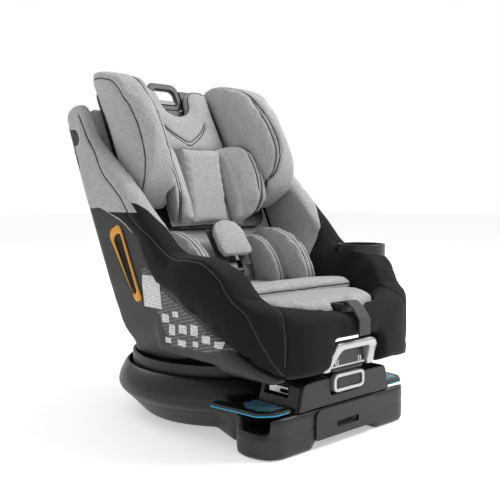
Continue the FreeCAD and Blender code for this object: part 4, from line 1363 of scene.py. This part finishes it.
@dataclass
class Headrest:
    """The sliding headrest: plate, centre pad, wings, head hugger, carry handle and release."""

    body: str = "headrest"
    edge_line: Sequence[Point] = (
        (168, 426, 20), (168, 408, 52), (168, 380, 84), (168, 340, 100), (168, 297, 110), (168, 255, 110),
        (168, 218, 104), (168, 188, 84), (168, 172, 50), (168, 168, 24),
    )
    panel_line: Sequence[Point] = (
        (98, 436, 18), (106, 424, 48), (122, 398, 80), (130, 362, 104), (131, 320, 122), (131, 274, 131),
        (130, 235, 126), (124, 206, 106), (110, 186, 72), (100, 180, 50),
    )
    hugger_line: Sequence[Point] = (
        (92, 285, 40), (97, 284, 56), (100, 262, 76), (101, 216, 86), (97, 172, 74), (90, 144, 52), (80, 137, 30),
    )
    badge_line: Sequence[tuple[float, float]] = ((-54, 345), (-38, 325), (-15, 308), (0, 300))
    notch_line: Sequence[tuple[float, float]] = (
        (-76, 414), (-65, 419), (-43, 417), (-26, 404), (-16, 388), (0, 364),
    )

    def build(self, frame: dict) -> None:
        """Builds the headrest and everything that slides with it."""
        paint(frame, SHELL, "headrest_plate")
        centre = Pad("head_centre_pad", ["headrest_pad"], self.body, LIGHT, voxel=0.004, cap=0.005).build(frame)
        self.build_wings(frame)
        self.build_hugger(frame)
        self.build_badge(centre)
        Moulding("carry_loop", ["headrest_handle"], self.body, SHELL, 0.0014, 8).build(frame)
        Moulding("height_release", ["headrest_release"], "headrest_squeeze", SATIN, 0.0012, 4).build(frame)

    def build_wings(self, frame: dict) -> None:
        """Builds both wings with the seam round their edge and the piping on their inner face."""
        wing = Pad("head_wing_left", ["headrest_wing_left"], self.body, LIGHT, smoothing=14, cap=0.007)
        for side, pad in zip((Side.LEFT, Side.RIGHT), wing.pair(frame)):
            edge = both_sides([back_point(*p) for p in self.edge_line], side)
            Seam("head_wing_edge_" + side.word, edge, PIPING_AND_SEAM_SHADE, depth=0.003).build([pad], self.body)
            for word, shift in (("outer", 0), ("inner", -7)):
                panel = [back_point(x + shift * 0.6, u, n + shift) for x, u, n in self.panel_line]
                name = f"head_wing_panel_{word}_{side.word}"
                Seam(name, both_sides(panel, side), PIPING_AND_SEAM_SHADE, radius=0.0010).build([pad], self.body)

    def build_hugger(self, frame: dict) -> None:
        """Builds the head hugger's wings and its middle panel."""
        wing = Pad("head_hugger_left", ["hugger_wing_left"], self.body, LIGHT, voxel=0.004, smoothing=12)
        for side, pad in zip((Side.LEFT, Side.RIGHT), wing.pair(frame)):
            for word, shift in (("outer", 0), ("inner", -6)):
                line = [back_point(x + shift, u, n + shift * 0.7) for x, u, n in self.hugger_line]
                name = f"head_hugger_seam_{word}_{side.word}"
                Seam(name, both_sides(line, side), PIPING_AND_SEAM_SHADE, radius=0.001).build([pad], self.body)
        shape = {"voxel": 0.004, "smoothing": 6, "cap": 0.003}
        Pad("head_hugger_middle", ["hugger_panel"], self.body, LIGHT, **shape).build(frame)

    def build_badge(self, centre: bpy.types.Object) -> None:
        """Builds the piping that frames the plain badge, and the piping round the notch above it."""
        lower = [(x, up - 7) for x, up in self.badge_line]
        for word, line in (("upper", self.badge_line), ("lower", lower), ("notch", self.notch_line)):
            mirrored = [(-x, up) for x, up in reversed(line[:-1])]
            path = [back_point(x, up, 34) for x, up in [*line, *mirrored]]
            Seam("badge_seam_" + word, path, PIPING_AND_SEAM_SHADE, radius=0.001, depth=0.002).build([centre], self.body)


@dataclass
class CupHolder:
    """The lift-out cup holder in the left arm."""

    body: str = "cup"

    def build(self, frame: dict) -> None:
        """Dresses the cup holder."""
        paint(frame, SATIN, "cup_holder")


@dataclass
class Studio:
    """Camera, floor, backdrop and soft lights."""

    camera_place: Point = (-0.8686, -0.9947, 0.3749)
    camera_turn: Point = (85.78, 0.0, -42.9)
    lens: float = 53.38
    floor_tone: Colour = (0.86, 0.86, 0.86)
    floor_glow: float = 0.42

    def build(self) -> None:
        """Builds the studio."""
        bpy.context.scene.view_settings.view_transform = "Standard"
        self.add_camera()
        self.add_floor()
        self.add_lights()

    def add_camera(self) -> None:
        """Adds the camera and makes it the scene's own."""
        data = bpy.data.cameras.new("camera")
        data.lens = self.lens
        data.sensor_width = 36
        camera = bpy.data.objects.new("camera", data)
        bpy.context.collection.objects.link(camera)
        camera.location = self.camera_place
        camera.rotation_euler = [math.radians(a) for a in self.camera_turn]
        bpy.context.scene.camera = camera

    def add_floor(self) -> None:
        """Adds the pale floor."""
        deselect_all()
        bpy.ops.mesh.primitive_plane_add(size=24)
        floor = bpy.context.object
        floor.name = "studio_floor"
        material = bpy.data.materials.new("pale_floor")
        material.use_nodes = True
        graph = Graph(material.node_tree)
        shader = material.node_tree.nodes["Principled BSDF"]
        where = graph.add("ShaderNodeTexCoord").outputs["Object"]
        second = coloured(tuple(c * 0.985 for c in self.floor_tone))
        tone = graph.blend(graph.noise(where, 3.0), coloured(self.floor_tone), second)
        graph.tree.links.new(tone, shader.inputs["Base Color"])
        shader.inputs["Roughness"].default_value = 0.8
        shader.inputs["Specular IOR Level"].default_value = 0.1
        shader.inputs["Emission Color"].default_value = (1, 1, 1, 1)
        shader.inputs["Emission Strength"].default_value = self.floor_glow
        floor.data.materials.append(material)

    def add_lights(self) -> None:
        """Adds the soft key, a weak rim and the surroundings, which look white but light softly."""
        self.add_area("key", (1.6, -1.2, 2.4), 1.3, 74)
        self.add_area("rim", (-0.6, 1.9, 1.8), 1.4, 16)
        world = bpy.data.worlds.new("white_room")
        world.use_nodes = True
        graph = Graph(world.node_tree)
        back = world.node_tree.nodes["Background"]
        seen = graph.add("ShaderNodeLightPath").outputs["Is Camera Ray"]
        strength = graph.add("ShaderNodeMapRange", {"Value": seen, "To Min": 0.62, "To Max": 1.0})
        graph.tree.links.new(strength.outputs[0], back.inputs["Strength"])
        back.inputs["Color"].default_value = (1, 1, 1, 1)
        bpy.context.scene.world = world

    def add_area(self, name: str, where: Point, size: float, power: float) -> None:
        """Adds one soft light that looks at the seat."""
        data = bpy.data.lights.new(name, "AREA")
        data.energy = power
        data.size = size
        light = bpy.data.objects.new(name, data)
        bpy.context.collection.objects.link(light)
        light.location = where
        look = Vector((0, 0, 0.28)) - Vector(where)
        light.rotation_euler = look.to_track_quat("-Z", "Y").to_euler()


def main() -> None:
    """Builds the studio and every sub-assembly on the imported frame, in order."""
    logging.basicConfig(level=logging.INFO, format="%(name)s: %(message)s")
    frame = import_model()
    Studio().build()
    for assembly in (Base(), ReclineHandle(), Turntable(), RotationHandle(), Shell(), Cover()):
        assembly.build(frame)
    for assembly in (Cushions(), Insert(), Harness(), Headrest(), CupHolder()):
        assembly.build(frame)


if __name__ == "__main__":
    main()
